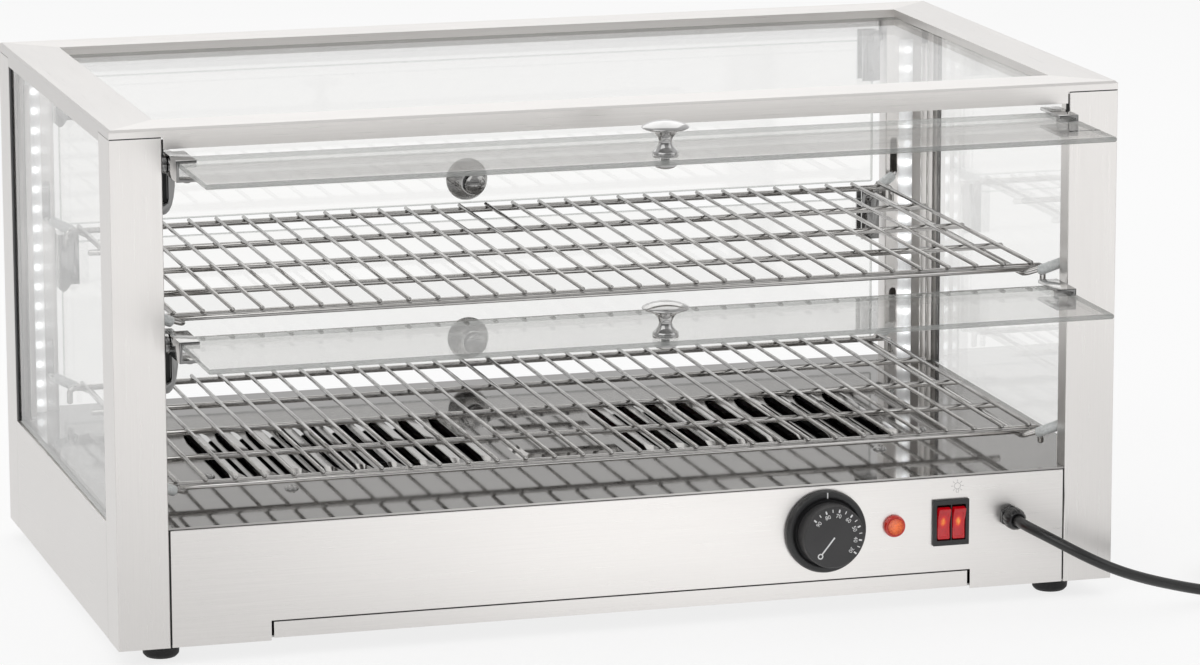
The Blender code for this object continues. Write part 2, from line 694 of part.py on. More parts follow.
HOOD_ROW_SHARES = ((0.0, 0.0), (0.30, 0.66), (1.0, 1.0))
HOOD_SECTION_SHARES = ((0.0, 1.0), (0.45, 0.84), (1.0, 0.0))
HOOD_TIP_SHARE = 0.20


def build_floor(steel):
    """Polished floor plate: louvre mouths cut through it, hoods and the centre pressing raised on it."""
    half_x = HALF_WIDTH - SHEET - SEAT_GAP - GLASS - SEAT_GAP
    plan = stepped_plan(half_x, FLANGE_Y - SEAT_GAP, POST_INNER_X - SEAT_GAP, HALF_DEPTH - SHEET - SEAT_GAP)
    floor = prism("floor_plate", plan, FLOOR_Z, FLOOR_TOP, PLAN, steel)
    cuts = bmesh.new()
    presses = bmesh.new()
    mouth_half = LOUVRE_LENGTH / 2 - LOUVRE_MOUTH_INSET
    mouth_wide = LOUVRE_WIDTH / 2
    y = MID_Y
    for x in louvre_places():
        add_box(cuts, (x - mouth_wide, y - mouth_half, FLOOR_Z - CUT_OVERRUN),
                (x + mouth_wide * LOUVRE_MOUTH_SHARE / 2, y + mouth_half, FLOOR_TOP + CUT_OVERRUN))
        add_hood(presses, x, y)
    for side_inset, front_inset in FLOOR_SCREW_INSETS:
        for side in (-1, 1):
            foot = Vector((side * (HALF_WIDTH - side_inset), MID_Y - HALF_DEPTH + front_inset,
                           FLOOR_TOP - FLOOR_SHEET / 2))
            dome = [(FLOOR_SCREW_RADIUS, 0.0), (FLOOR_SCREW_RADIUS, FLOOR_SHEET),
                    (FLOOR_SCREW_RADIUS * DOME_SHOULDER_SHARE, FLOOR_SHEET / 2 + FLOOR_SCREW_RISE)]
            add_lathe(presses, dome, foot, Z_AXIS, 12)
    corners = []
    centre_y = MID_Y - HUMP_SETBACK
    for inset, height in ((0.0, FLOOR_TOP - FLOOR_SHEET / 2), (HUMP_DRAFT, FLOOR_TOP + HUMP_RISE)):
        half_w = HUMP_WIDTH / 2 - inset
        half_l = HUMP_LENGTH / 2 - inset
        plan = fillet(rectangle(-half_w, half_w, centre_y - half_l, centre_y + half_l), HUMP_CORNER, 3)
        corners.append([presses.verts.new((u, v, height)) for u, v in plan])
    presses.faces.new(corners[0])
    presses.faces.new(corners[1])
    for k in range(len(corners[0])):
        n = (k + 1) % len(corners[0])
        presses.faces.new((corners[0][k], corners[0][n], corners[1][n], corners[1][k]))
    boolean(floor, new_object("floor_mouths", cuts, None, smooth=False), "DIFFERENCE")
    boolean(floor, new_object("floor_presses", presses, None, smooth=False), "UNION")


LOUVRE_MOUTH_SHARE = 0.95
DOME_SHOULDER_SHARE = 0.55


def rack_mesh(chrome):
    """One wire rack round its own origin: rods, wires on them, side rods with hooks, end rails."""
    rods = bmesh.new()
    step = 2 * RACK_HALF_DEPTH / (RACK_RODS - 1)
    for i in range(RACK_RODS):
        y = -RACK_HALF_DEPTH + i * step
        points = [(-RACK_ROD_REACH, y, -RACK_BITE - SEAT_GAP), (RACK_ROD_REACH, y, -RACK_BITE - SEAT_GAP)]
        if i in (0, RACK_RODS - 1):
            drop = -RACK_LEG_DROP
            points = [(-RACK_ROD_REACH, y, drop), (-RACK_ROD_REACH, y, 0.0), (RACK_ROD_REACH, y, 0.0),
                      (RACK_ROD_REACH, y, drop)]
            points = bent(points, 2 * RACK_ROD_RADIUS)
        add_tube(rods, points, RACK_ROD_RADIUS, 8)
    rack = new_object("upper_rack", rods, chrome)
    wires = bmesh.new()
    lift = RACK_ROD_RADIUS + RACK_WIRE_RADIUS - RACK_BITE
    wire_end = RACK_HALF_DEPTH + RACK_WIRE_OVERHANG
    for i in range(RACK_WIRES):
        x = RACK_FIRST_WIRE * (2 * i / (RACK_WIRES - 1) - 1)
        add_tube(wires, [(x, -wire_end, lift), (x, wire_end, lift)], RACK_WIRE_RADIUS, 6)
    boolean(rack, new_object("rack_wires", wires, None), "UNION")
    hooks = bmesh.new()
    low = RACK_BITE - 2 * RACK_ROD_RADIUS
    slot_x = HALF_WIDTH - HOOK_SLOT_INSET
    bend_y = RACK_HALF_DEPTH + RACK_RAIL_STEP
    for side in (-1, 1):
        corner = side * RACK_SIDE_ROD
        path = [(side * slot_x, -FLANGE_Y - HOOK_TIP, HOOK_RISE), (side * slot_x, -FLANGE_Y + HOOK_TIP, HOOK_RISE),
                (corner, -bend_y, low), (corner, bend_y, low),
                (side * slot_x, FLANGE_Y - HOOK_TIP, HOOK_RISE), (side * slot_x, FLANGE_Y + HOOK_TIP, HOOK_RISE)]
        add_tube(hooks, bent(path, 2 * RACK_ROD_RADIUS, 2), RACK_ROD_RADIUS, 8)
    boolean(rack, new_object("rack_hooks", hooks, None), "UNION")
    rails = bmesh.new()
    for side in (-1, 1):
        y = side * (RACK_HALF_DEPTH + RACK_RAIL_STEP)
        height = low + RACK_ROD_RADIUS + RACK_RAIL_RADIUS / 2
        add_tube(rails, [(-RACK_FIRST_WIRE, y, height), (RACK_FIRST_WIRE, y, height)], RACK_RAIL_RADIUS, 6)
    boolean(rack, new_object("rack_rails", rails, None), "UNION")
    return rack


def build_racks(chrome):
    upper = rack_mesh(chrome)
    upper.location = (0.0, MID_Y, BASE_Z + UPPER_RACK_HEIGHT)
    lower = upper.copy()
    lower.name = "lower_rack"
    lower.location = (0.0, MID_Y, BASE_Z + LOWER_RACK_HEIGHT)
    bpy.context.scene.collection.objects.link(lower)
    for rack in (upper, lower):
        for change in list(rack.modifiers):
            tool = change.object.copy()
            tool.location = rack.location
            bpy.context.scene.collection.objects.link(hidden_tool(tool))
            change.object = tool


def knob_profile():
    """Turned mushroom knob from its screw head under the pane to its domed top."""
    head = KNOB_HEAD_RADIUS
    neck = KNOB_NECK_RADIUS
    base = KNOB_BASE_RADIUS
    top = DOOR_FACE_OFFSET + KNOB_HEIGHT
    face = DOOR_FACE_OFFSET + SEAT_GAP
    under = DOOR_FACE_OFFSET - GLASS - SEAT_GAP
    tall = KNOB_HEIGHT
    washer = KNOB_WASHER_RADIUS
    return [(0.0, under - KNOB_SCREW_DEPTH), (washer * 0.5, under - KNOB_SCREW_DEPTH * 0.85),
            (washer, under - KNOB_SCREW_DEPTH * 0.3), (washer, under), (KNOB_STEM_RADIUS, under),
            (KNOB_STEM_RADIUS, face), (base, face), (base, face + tall * 0.09), (neck, face + tall * 0.30),
            (neck * 1.15, face + tall * 0.52), (head * 0.94, face + tall * 0.70), (head, face + tall * 0.79),
            (head * 0.86, face + tall * 0.89), (0.0, top)]


def build_door(label, pivot, along, outward, brake_side, clear, chrome):
    """One flap: pane, knob and two clamps on the pivot, and the fixed brake hinge on one side."""
    empty = pivot_empty(label + "_pivot", pivot)
    half = DOOR_WIDTH / 2
    face = DOOR_FACE_OFFSET
    axes = (along, outward, X_AXIS)

    bm = bmesh.new()
    add_prism(bm, rectangle(DOOR_TOP_SETBACK, DOOR_LENGTH, face - GLASS, face), -half, half, *axes)
    bmesh.ops.bevel(bm, geom=bm.edges[:], offset=DOOR_EDGE_RADIUS, segments=1, affect="EDGES")
    pane = new_object(label + "_glass", bm, clear)
    hang_on(pane, empty)
    knob_foot = along * (DOOR_LENGTH - KNOB_FROM_EDGE)
    bm = bmesh.new()
    hole = KNOB_STEM_RADIUS + SEAT_GAP
    add_lathe(bm, [(hole, face - GLASS - CUT_OVERRUN), (hole, face + CUT_OVERRUN)], knob_foot, outward, 12)
    tool = new_object(label + "_glass_hole", bm, None)
    hang_on(tool, empty)
    boolean(pane, tool, "DIFFERENCE")
    bm = bmesh.new()
    add_lathe(bm, knob_profile(), knob_foot, outward, 16)
    hang_on(new_object(label + "_knob", bm, chrome), empty)

    for side, sign in (("left", -1), ("right", 1)):
        build_clamp(label + "_clamp_" + side, sign, empty, axes, sign == brake_side, chrome)
    build_hinge_body(label + "_hinge", brake_side, pivot, outward, chrome)
    return empty


def build_clamp(name, sign, empty, axes, on_brake, chrome):
    """C-shaped glass clamp with two screws and its hinge pin."""
    along, outward, _ = axes
    inner = DOOR_WIDTH / 2 - CLAMP_REACH
    spine = DOOR_WIDTH / 2 + SEAT_GAP
    outer = spine + CLAMP_WALL
    high = CLAMP_HEIGHT / 2
    jaw = DOOR_FACE_OFFSET + SEAT_GAP
    section = [(outer, -high), (outer, high), (inner, high), (inner, jaw), (spine, jaw),
               (spine, -high + CLAMP_WALL), (inner, -high + CLAMP_WALL), (inner, -high)]
    bm = bmesh.new()
    add_prism(bm, [(sign * u, v) for u, v in section], -CLAMP_TAIL, CLAMP_LENGTH - CLAMP_TAIL,
              X_AXIS, outward, along)
    clamp = new_object(name, bm, chrome)
    hang_on(clamp, empty)
    post_face = POST_INNER_X
    tip = post_face + SHEET + HINGE_PIN_TIP
    extras = bmesh.new()
    sunk = CLAMP_WALL / 2
    if on_brake:
        profile = [(HINGE_PIN_RADIUS, 0.0), (HINGE_PIN_RADIUS, tip - outer + sunk)]
    else:
        shoulder = post_face - SEAT_GAP - outer + sunk
        profile = [(HINGE_BUSH_RADIUS, 0.0), (HINGE_BUSH_RADIUS, shoulder), (HINGE_PIN_RADIUS, shoulder),
                   (HINGE_PIN_RADIUS, tip - outer + sunk)]
    add_lathe(extras, profile, X_AXIS * sign * (outer - sunk), X_AXIS * sign, 10)
    middle = (CLAMP_LENGTH - 2 * CLAMP_TAIL) / 2
    for step in (-1, 1):
        foot = X_AXIS * sign * (inner + CLAMP_REACH / 2) + along * (middle + step * CLAMP_SCREW_SPACING / 2)
        low = -high - CLAMP_SCREW_HEIGHT
        add_lathe(extras, [(CLAMP_SCREW_RADIUS * 0.7, low), (CLAMP_SCREW_RADIUS, -high - CLAMP_SCREW_HEIGHT / 2),
                           (CLAMP_SCREW_RADIUS, -high + sunk)], foot, outward, 8)
    tool = new_object(name + "_extras", extras, None)
    hang_on(tool, empty)
    boolean(clamp, tool, "UNION")


HINGE_FOOT_SHARE = 0.93
# how far down the drop, and how far across the width
HINGE_LEAF_SHARES = ((0.97, 0.86), (1.0, 0.74), (0.985, 0.56), (0.93, 0.38), (0.82, 0.20), (0.66, 0.08), (0.46, 0.0))


def build_hinge_body(name, sign, pivot, outward, chrome):
    """Fixed brake hinge: an ear round the pin and a casting behind the flap with an oval pocket."""
    face_x = POST_INNER_X - SEAT_GAP
    inner_x = face_x - HINGE_BODY_WIDTH
    front = -CLAMP_HEIGHT / 2 - CLAMP_SCREW_HEIGHT - SEAT_GAP * 2
    back = front - HINGE_BODY_DEPTH
    top = HINGE_EAR_RADIUS
    low = -HINGE_BODY_DROP
    outline = [(face_x, top), (face_x, low * HINGE_FOOT_SHARE)]
    for drop, inset in HINGE_LEAF_SHARES:
        outline.append((inner_x + HINGE_BODY_WIDTH * inset, low * drop))
    outline += [(inner_x, top - HINGE_BODY_WIDTH / 6), (inner_x + HINGE_BODY_WIDTH / 6, top)]
    bm = bmesh.new()
    add_prism(bm, [(sign * u, v) for u, v in outline], front, back, X_AXIS, Z_AXIS, outward)
    bmesh.ops.translate(bm, verts=bm.verts, vec=pivot)
    body = new_object(name, bm, chrome)
    bm = bmesh.new()
    ear = []
    for k in range(9):
        angle = -math.pi / 2 + math.pi * k / 8
        ear.append((HINGE_EAR_RADIUS * math.cos(angle), HINGE_EAR_RADIUS * math.sin(angle)))
    ear += [(front - HINGE_BODY_DEPTH / 2, HINGE_EAR_RADIUS), (front - HINGE_BODY_DEPTH / 2, -HINGE_EAR_RADIUS)]
    add_prism(bm, ear, sign * face_x, sign * (face_x - HINGE_EAR), outward, Z_AXIS, X_AXIS)
    bmesh.ops.translate(bm, verts=bm.verts, vec=pivot)
    boolean(body, new_object(name + "_ear", bm, None), "UNION")
    bm = bmesh.new()
    hole = HINGE_PIN_RADIUS + HINGE_PIN_CLEARANCE
    start = X_AXIS * sign * (face_x - HINGE_EAR - CUT_OVERRUN / 2)
    add_lathe(bm, [(hole, 0.0), (hole, HINGE_EAR + CUT_OVERRUN)], start, X_AXIS * sign, 16)
    pocket_z = (low + top - HINGE_EAR_RADIUS) / 2
    pocket = stadium(sign * (face_x - HINGE_POCKET_INSET - HINGE_POCKET_WIDTH / 2), pocket_z, HINGE_POCKET_WIDTH,
                     HINGE_POCKET_HEIGHT)
    add_prism(bm, pocket, front + CUT_OVERRUN, front - HINGE_POCKET_DEPTH, X_AXIS, Z_AXIS, outward)
    bmesh.ops.translate(bm, verts=bm.verts, vec=pivot)
    boolean(body, new_object(name + "_cuts", bm, None), "DIFFERENCE")


def build_doors(clear, chrome):
    """Front flaps stand open and rear flaps hang closed; all have their brake hinge on the left."""
    for level, height in (("upper", UPPER_PIVOT_HEIGHT), ("lower", LOWER_PIVOT_HEIGHT)):
        front = Vector((0.0, MID_Y - PIVOT_Y, BASE_Z + height))
        rear = Vector((0.0, MID_Y + PIVOT_Y, BASE_Z + height))
        build_open_door(level + "_front_door", front, clear, chrome)
        build_door(level + "_rear_door", rear, -Z_AXIS, Y_AXIS, -1, clear, chrome)


def build_open_door(label, pivot, clear, chrome):
    """A front flap is built hanging closed and then swung up to its open stop."""
    empty = build_door(label, pivot, -Z_AXIS, -Y_AXIS, -1, clear, chrome)
    empty.rotation_euler = (-math.pi / 2, 0.0, 0.0)


def build_crumb_tray(steel):
    """Shallow pan with a turned-up front strip in the panel's notch."""
    front = FRONT_Y + TRAY_FRONT_SETBACK
    low = PAN_TOP + SEAT_GAP
    half = TRAY_HALF_WIDTH
    inner = half - TRAY_SIDE_SETBACK
    wall = TRAY_SHEET
    back = front + TRAY_DEPTH
    strip = box("crumb_tray", (-half, front, BASE_Z + TRAY_FRONT_LIFT),
                (half, front + wall, BASE_Z + TRAY_FRONT_LIFT + TRAY_FRONT_HEIGHT), steel)
    bm = bmesh.new()
    bite = wall / 2
    outer = fillet(rectangle(-inner, inner, front + bite, back), wall, 1)
    add_prism(bm, outer, low, low + TRAY_WALL_HEIGHT, *PLAN)
    pan = new_object("crumb_tray_pan", bm, None)
    boolean(strip, pan, "UNION")
    bm = bmesh.new()
    add_box(bm, (-inner + wall, front + wall, low + wall), (inner - wall, back - wall, low + TRAY_WALL_HEIGHT + CUT_OVERRUN))
    boolean(strip, new_object("crumb_tray_hollow", bm, None), "DIFFERENCE")


def build_thermostat(black, metal):
    centre = Vector((KNOB_X, FRONT_Y, CONTROL_Z))
    out = -Y_AXIS
    ring = BEZEL_RADIUS
    lift = SEAT_GAP
    profile = [(BEZEL_BORE, lift), (ring, lift), (ring, lift + BEZEL_THICKNESS - BEZEL_CHAMFER),
               (ring - BEZEL_CHAMFER, lift + BEZEL_THICKNESS), (BEZEL_BORE, lift + BEZEL_THICKNESS)]
    lathe("dial_bezel", profile, centre, out, 28, black, closed=True)
    seat = lift + BEZEL_THICKNESS + SEAT_GAP
    face = seat + DIAL_HEIGHT
    bore = SHAFT_RADIUS + SEAT_GAP
    depth = seat + DIAL_BORE_DEPTH
    profile = [(bore, lift), (DIAL_HUB_RADIUS, lift), (DIAL_HUB_RADIUS, seat), (DIAL_RADIUS, seat),
               (DIAL_RADIUS, face - DIAL_EDGE), (DIAL_RADIUS - DIAL_EDGE, face), (0.0, face)]
    inner = [(0.0, depth), (bore, depth)]
    lathe("thermostat_knob", inner + profile, ZERO, out, 24, black)
    knob = bpy.data.objects["thermostat_knob"]
    knob.location = centre
    inside = Vector((KNOB_X, FRONT_Y + SHEET + SEAT_GAP, CONTROL_Z))
    half = THERMOSTAT_SIZE / 2
    body = box("thermostat_body", (KNOB_X - half, inside.y, CONTROL_Z - half),
               (KNOB_X + half, inside.y + THERMOSTAT_DEPTH, CONTROL_Z + half), metal, BEZEL_CHAMFER)
    bm = bmesh.new()
    bite = BEZEL_CHAMFER
    reach = SHEET + SEAT_GAP + depth - SEAT_GAP + bite
    add_lathe(bm, [(SHAFT_RADIUS, 0.0), (SHAFT_RADIUS, reach)], inside + Y_AXIS * bite, out, 12)
    boolean(body, new_object("thermostat_shaft", bm, None), "UNION")


def build_lamp(red):
    centre = Vector((LAMP_X, FRONT_Y, CONTROL_Z))
    lens = LAMP_RADIUS
    proud = LAMP_PROUD
    profile = [(0.0, -LAMP_BARREL_LENGTH), (LAMP_BARREL_RADIUS, -LAMP_BARREL_LENGTH),
               (LAMP_BARREL_RADIUS, SEAT_GAP), (lens, SEAT_GAP), (lens, proud * 0.45), (lens * 0.86, proud * 0.75),
               (lens * 0.5, proud * 0.95), (0.0, proud)]
    lathe("pilot_lamp", profile, centre, -Y_AXIS, 16, red)


def rocker_profile(scale_z):
    """Side outline of a rocker about its pivot: dished face, round ends and a narrower back."""
    half = ROCKER_LENGTH / 2 * scale_z
    front = -ROCKER_PROUD
    return [(ROCKER_BACK, -half * 0.55), (0.0, -half), (front, -half), (front + ROCKER_DISH, 0.0), (front, half),
            (0.0, half), (ROCKER_BACK, half * 0.55)]


def build_switch(black, red):
    """Twin rocker switch: housing with two wells, and a lit rocker in each."""
    half_w = SWITCH_WIDTH / 2
    half_h = SWITCH_HEIGHT / 2
    face = FRONT_Y - SEAT_GAP
    housing = box("switch_housing", (SWITCH_X - half_w, face - SWITCH_BEZEL, CONTROL_Z - half_h),
                  (SWITCH_X + half_w, face, CONTROL_Z + half_h), black, SWITCH_BEZEL / 5)
    bm = bmesh.new()
    body_w = SWITCH_BODY_WIDTH / 2
    body_h = SWITCH_BODY_HEIGHT / 2
    add_box(bm, (SWITCH_X - body_w, face - SWITCH_BEZEL / 2, CONTROL_Z - body_h),
            (SWITCH_X + body_w, face + SWITCH_BODY_DEPTH, CONTROL_Z + body_h))
    boolean(housing, new_object("switch_housing_body", bm, None), "UNION")
    bm = bmesh.new()
    well_w = ROCKER_WIDTH / 2 + ROCKER_SIDE_GAP
    well_h = math.hypot(ROCKER_LENGTH / 2, ROCKER_PROUD) + ROCKER_CLEARANCE
    for name, sign in (("rocker_left", -1), ("rocker_right", 1)):
        x = SWITCH_X + sign * ROCKER_SPACING / 2
        add_box(bm, (x - well_w, face - SWITCH_BEZEL - CUT_OVERRUN, CONTROL_Z - well_h),
                (x + well_w, face + SWITCH_CAVITY_DEPTH - SWITCH_BEZEL, CONTROL_Z + well_h))
        half = ROCKER_WIDTH / 2
        outline = rocker_profile(1.0)
        rocker = prism(name, outline, -half, half, SIDE_VIEW, red)
        rocker.location = (x, face + ROCKER_PIVOT_DEPTH, CONTROL_Z)
        rocker.rotation_euler = (ROCKER_TILT, 0.0, 0.0)
    boolean(housing, new_object("switch_housing_wells", bm, None), "DIFFERENCE")


def build_gland(black):
    """Cable gland: locknut and thread inside, hexagon, neck and domed cap outside."""
    centre = Vector((GLAND_X, FRONT_Y, GLAND_Z))
    start = SEAT_GAP
    neck = start + GLAND_HEX_LENGTH
    dome = neck + GLAND_NECK_LENGTH
    mouth = dome + GLAND_DOME_LENGTH
    nut = -SHEET - SEAT_GAP
    profile = [(0.0, nut - GLAND_NUT_LENGTH), (GLAND_HEX_RADIUS, nut - GLAND_NUT_LENGTH), (GLAND_HEX_RADIUS, nut),
               (GLAND_THREAD_RADIUS, nut), (GLAND_THREAD_RADIUS, start), (GLAND_HEX_RADIUS, start),
               (GLAND_HEX_RADIUS, neck), (GLAND_NECK_RADIUS, neck), (GLAND_NECK_RADIUS, dome),
               (GLAND_DOME_RADIUS, dome), (GLAND_DOME_RADIUS, dome + GLAND_DOME_LENGTH * 0.5),
               (GLAND_DOME_RADIUS * 0.93, dome + GLAND_DOME_LENGTH * 0.72),
               (GLAND_DOME_RADIUS * 0.78, dome + GLAND_DOME_LENGTH * 0.90), (GLAND_MOUTH_RADIUS, mouth), (0.0, mouth)]
    lathe("cable_gland", profile, centre, -Y_AXIS, 12, black)
    return centre - Y_AXIS * mouth


def build_heaters(metal):
    """Two hairpin heating rods lying against the underside of the floor plate."""
    z = FLOOR_Z - SEAT_GAP - HEATER_RADIUS
    y = MID_Y
    for side, sign in (("left", -1), ("right", 1)):
        near = sign * (LOUVRE_GROUP_CENTRE - HEATER_LENGTH / 2)
        far = sign * (LOUVRE_GROUP_CENTRE + HEATER_LENGTH / 2)
        path = [(near, y - HEATER_HALF_SPAN, z), (far, y - HEATER_HALF_SPAN, z), (far, y + HEATER_HALF_SPAN, z),
                (near, y + HEATER_HALF_SPAN, z)]
        bm = bmesh.new()
        add_tube(bm, bent(path, HEATER_BEND_RADIUS, 5), HEATER_RADIUS, 8)
        new_object("heating_element_" + side, bm, metal)


def build_wiring(white, metal):
    """Terminal block and lamp driver standing on the base pan beside the tray."""
    low = PAN_TOP + SEAT_GAP
    for name, width, depth, height, front, surface in (
            ("terminal_block", TERMINAL_WIDTH, TERMINAL_DEPTH, TERMINAL_HEIGHT, TERMINAL_FRONT, white),
            ("lamp_driver", DRIVER_WIDTH, DRIVER_DEPTH, DRIVER_HEIGHT, DRIVER_FRONT, metal)):
        box(name, (WIRING_BAY_X - width / 2, MID_Y + front, low),
            (WIRING_BAY_X + width / 2, MID_Y + front + depth, low + height), surface, SHEET)


def build_led_strips(white):
    """Light strips on the inner flanges of the rear posts."""
    back = MID_Y + FLANGE_Y - SEAT_GAP
    low = FLOOR_TOP + SEAT_GAP
    high = TOP_Z - CAP_FRONT_DROP - LED_TOP_GAP
    for side, sign in (("left", -1), ("right", 1)):
        x = sign * (HALF_WIDTH - LED_INSET)
        half = LED_WIDTH / 2
        face = back - LED_DEPTH
        outline = [(x - half, back), (x + half, back), (x + half, face + LED_FACE_RADIUS),
                   (x + half * 0.5, face), (x - half * 0.5, face), (x - half, face + LED_FACE_RADIUS)]
        prism("light_strip_" + side, outline, low, high, PLAN, white)


def build_feet(rubber):
    for row, side_y in (("front", -1), ("rear", 1)):
        for side, side_x in (("left", -1), ("right", 1)):
            place = Vector((side_x * (HALF_WIDTH - FOOT_INSET_X), MID_Y + side_y * (HALF_DEPTH - FOOT_INSET_Y), 0.0))
            top = FOOT_HEIGHT - SEAT_GAP
            neck_top = FOOT_HEIGHT + PAN_LIFT - SEAT_GAP
            profile = [(0.0, 0.0), (FOOT_BOTTOM_RADIUS - FOOT_SOLE_EDGE, 0.0), (FOOT_BOTTOM_RADIUS, FOOT_SOLE_EDGE),
                       (FOOT_TOP_RADIUS, top - FOOT_EDGE), (FOOT_TOP_RADIUS - FOOT_EDGE, top),
                       (FOOT_NECK_RADIUS, top), (FOOT_NECK_RADIUS, neck_top), (0.0, neck_top)]
            lathe("foot_" + row + "_" + side, profile, place, Z_AXIS, 16, rubber)


def smooth_route(points, count):
    """Even points on a smooth curve through the chosen ones; the first and last only steer it."""
    padded = [Vector(p) for p in points]
    path = padded[1:-1]
    fine = []
    for a, b, c, d in zip(padded, padded[1:], padded[2:], padded[3:]):
        for k in range(24):
            t = k / 24
            fine.append(0.5 * (2 * b + (c - a) * t + (2 * a - 5 * b + 4 * c - d) * t * t
                               + (3 * b - a - 3 * c + d) * t * t * t))
    fine.append(path[-1])
    lengths = [0.0]
    for first, second in zip(fine, fine[1:]):
        lengths.append(lengths[-1] + (second - first).length)
    out = []
    index = 0
    for k in range(count):
        target = lengths[-1] * k / (count - 1)
        while index < len(fine) - 2 and lengths[index + 1] < target:
            index += 1
        t = (target - lengths[index]) / (lengths[index + 1] - lengths[index])
        out.append(fine[index].lerp(fine[index + 1], min(1.0, t)))
    return out


def cord_curve(name, points, radius, resolution, surface):
    data = bpy.data.curves.new(name, "CURVE")
    data.dimensions = "3D"
    data.bevel_depth = radius
    data.bevel_resolution = resolution
    data.use_fill_caps = True
    spline = data.splines.new("POLY")
    spline.points.add(len(points) - 1)
    for slot, point in zip(spline.points, points):
        slot.co = (*point, 1.0)
    data.materials.append(surface)
    made = bpy.data.objects.new(name, data)
    bpy.context.scene.collection.objects.link(made)
    return made


def coil_points():
    """Loops that spiral in on the table, climb in the half turn where they reverse, and spiral out."""
    turns = COIL_TURNS_PER_LAYER
    start = COIL_START_ANGLE
    count = round(2 * turns * COIL_POINTS_PER_TURN)
    points = []
    for k in range(count + 1):
        phase = 2 * turns * k / count - turns
        angle = start + 2 * math.pi * (phase + turns)
        radius = COIL_INNER_RADIUS + CORD_SPACING * math.sqrt(phase * phase + COIL_TURN_EASE ** 2)
        climb = min(1.0, max(0.0, phase * 2 + 0.5))
        climb = climb * climb * (3 - 2 * climb)
        height = CORD_RADIUS + CORD_SPACING * climb
        points.append(Vector((COIL_CENTRE_X + radius * math.cos(angle), COIL_CENTRE_Y + radius * math.sin(angle),
                              height)))
    return points


COIL_START_ANGLE = -math.pi / 2
COIL_TURN_EASE = 0.10


def least_gap(points, radius, skip):
    """Smallest clear space between stretches of a tube that lie apart along it."""
    least = 1.0
    for i, first in enumerate(points):
        for second in points[i + skip:]:
            least = min(least, (first - second).length - 2 * radius)
    return least


def build_cord(exit_point, black):
    """Mains cord: a free lead from the gland, a coil of the rest, and the plug beside it."""
    d = 2 * CORD_RADIUS
    coil = coil_points()
    first_way = (coil[1] - coil[0]).normalized()
    coil_start = coil[0] - first_way * d
    last_way = (coil[-1] - coil[-2]).normalized()
    last_way = Vector((last_way.x, last_way.y, 0.0)).normalized()
    plug_z = PLUG_RADIUS + PLUG_LIFT
    rise = plug_z - coil[-1].z
    tail = [coil[-1] + last_way * d * 1.5 + Z_AXIS * rise * 0.25, coil[-1] + last_way * d * 3.5 + Z_AXIS * rise * 0.8,
            coil[-1] + last_way * d * 5 + Z_AXIS * rise, coil[-1] + last_way * d * 6.2 + Z_AXIS * rise]
    coil = [coil_start, *coil, *tail]
    cord_curve("cord_coil", coil, CORD_RADIUS, 1, black)

    start = exit_point - Y_AXIS * SEAT_GAP
    end = coil_start - first_way * SEAT_GAP
    way = first_way
    route = [start, start - Y_AXIS * d, *LEAD_ROUTE, end - way * d, end]
    points = [start, *smooth_route(route, LEAD_POINTS), end]
    cord_curve("cord_lead", points, CORD_RADIUS, 2, black)

    plug_start = coil[-1] + last_way * SEAT_GAP
    build_plug(plug_start, last_way, black)
    length = sum((b - a).length for a, b in zip(points, points[1:])) + sum((b - a).length for a, b in zip(coil, coil[1:]))
    gap = least_gap(coil, CORD_RADIUS, 12)
    print("cord length %.3f m, least gap in the coil %.2f mm" % (length, gap * 1000))


LEAD_ROUTE = (
    (0.3163, -0.2200, 0.0698),
    (0.3276, -0.2422, 0.0645),
    (0.3487, -0.2600, 0.0535),
    (0.3720, -0.2620, 0.0423),
    (0.4000, -0.2530, 0.0308),
    (0.4330, -0.2405, 0.0195),
    (0.4600, -0.2325, 0.0118),
    (0.4870, -0.2295, 0.0062),
    (0.5140, -0.2292, 0.00425),
)


def build_plug(start, way, black):
    """Round two-pin plug lying on its side, its ribbed sleeve towards the cord."""
    neck = PLUG_NECK_LENGTH
    body = neck + PLUG_BODY_LENGTH
    profile = [(0.0, 0.0), (CORD_RADIUS * 1.25, 0.0), (PLUG_NECK_RADIUS, neck), (PLUG_RADIUS * 0.72, neck),
               (PLUG_RADIUS, neck + PLUG_BODY_LENGTH * 0.30), (PLUG_RADIUS, body - PLUG_BODY_LENGTH * 0.18),
               (PLUG_FACE_RADIUS, body), (0.0, body)]
    plug = lathe("mains_plug", profile, start, way, 20, black)
    bm = bmesh.new()
    across = way.cross(Z_AXIS).normalized()
    for side in (-1, 1):
        foot = start + way * (body - PLUG_BODY_LENGTH / 4) + across * side * PLUG_PIN_SPACING / 2
        reach = PLUG_PIN_LENGTH + PLUG_BODY_LENGTH / 4
        add_lathe(bm, [(PLUG_PIN_RADIUS, 0.0), (PLUG_PIN_RADIUS, reach * 0.93), (PLUG_PIN_RADIUS * 0.6, reach)],
                  foot, way, 10)
    boolean(plug, new_object("mains_plug_pins", bm, None), "UNION")


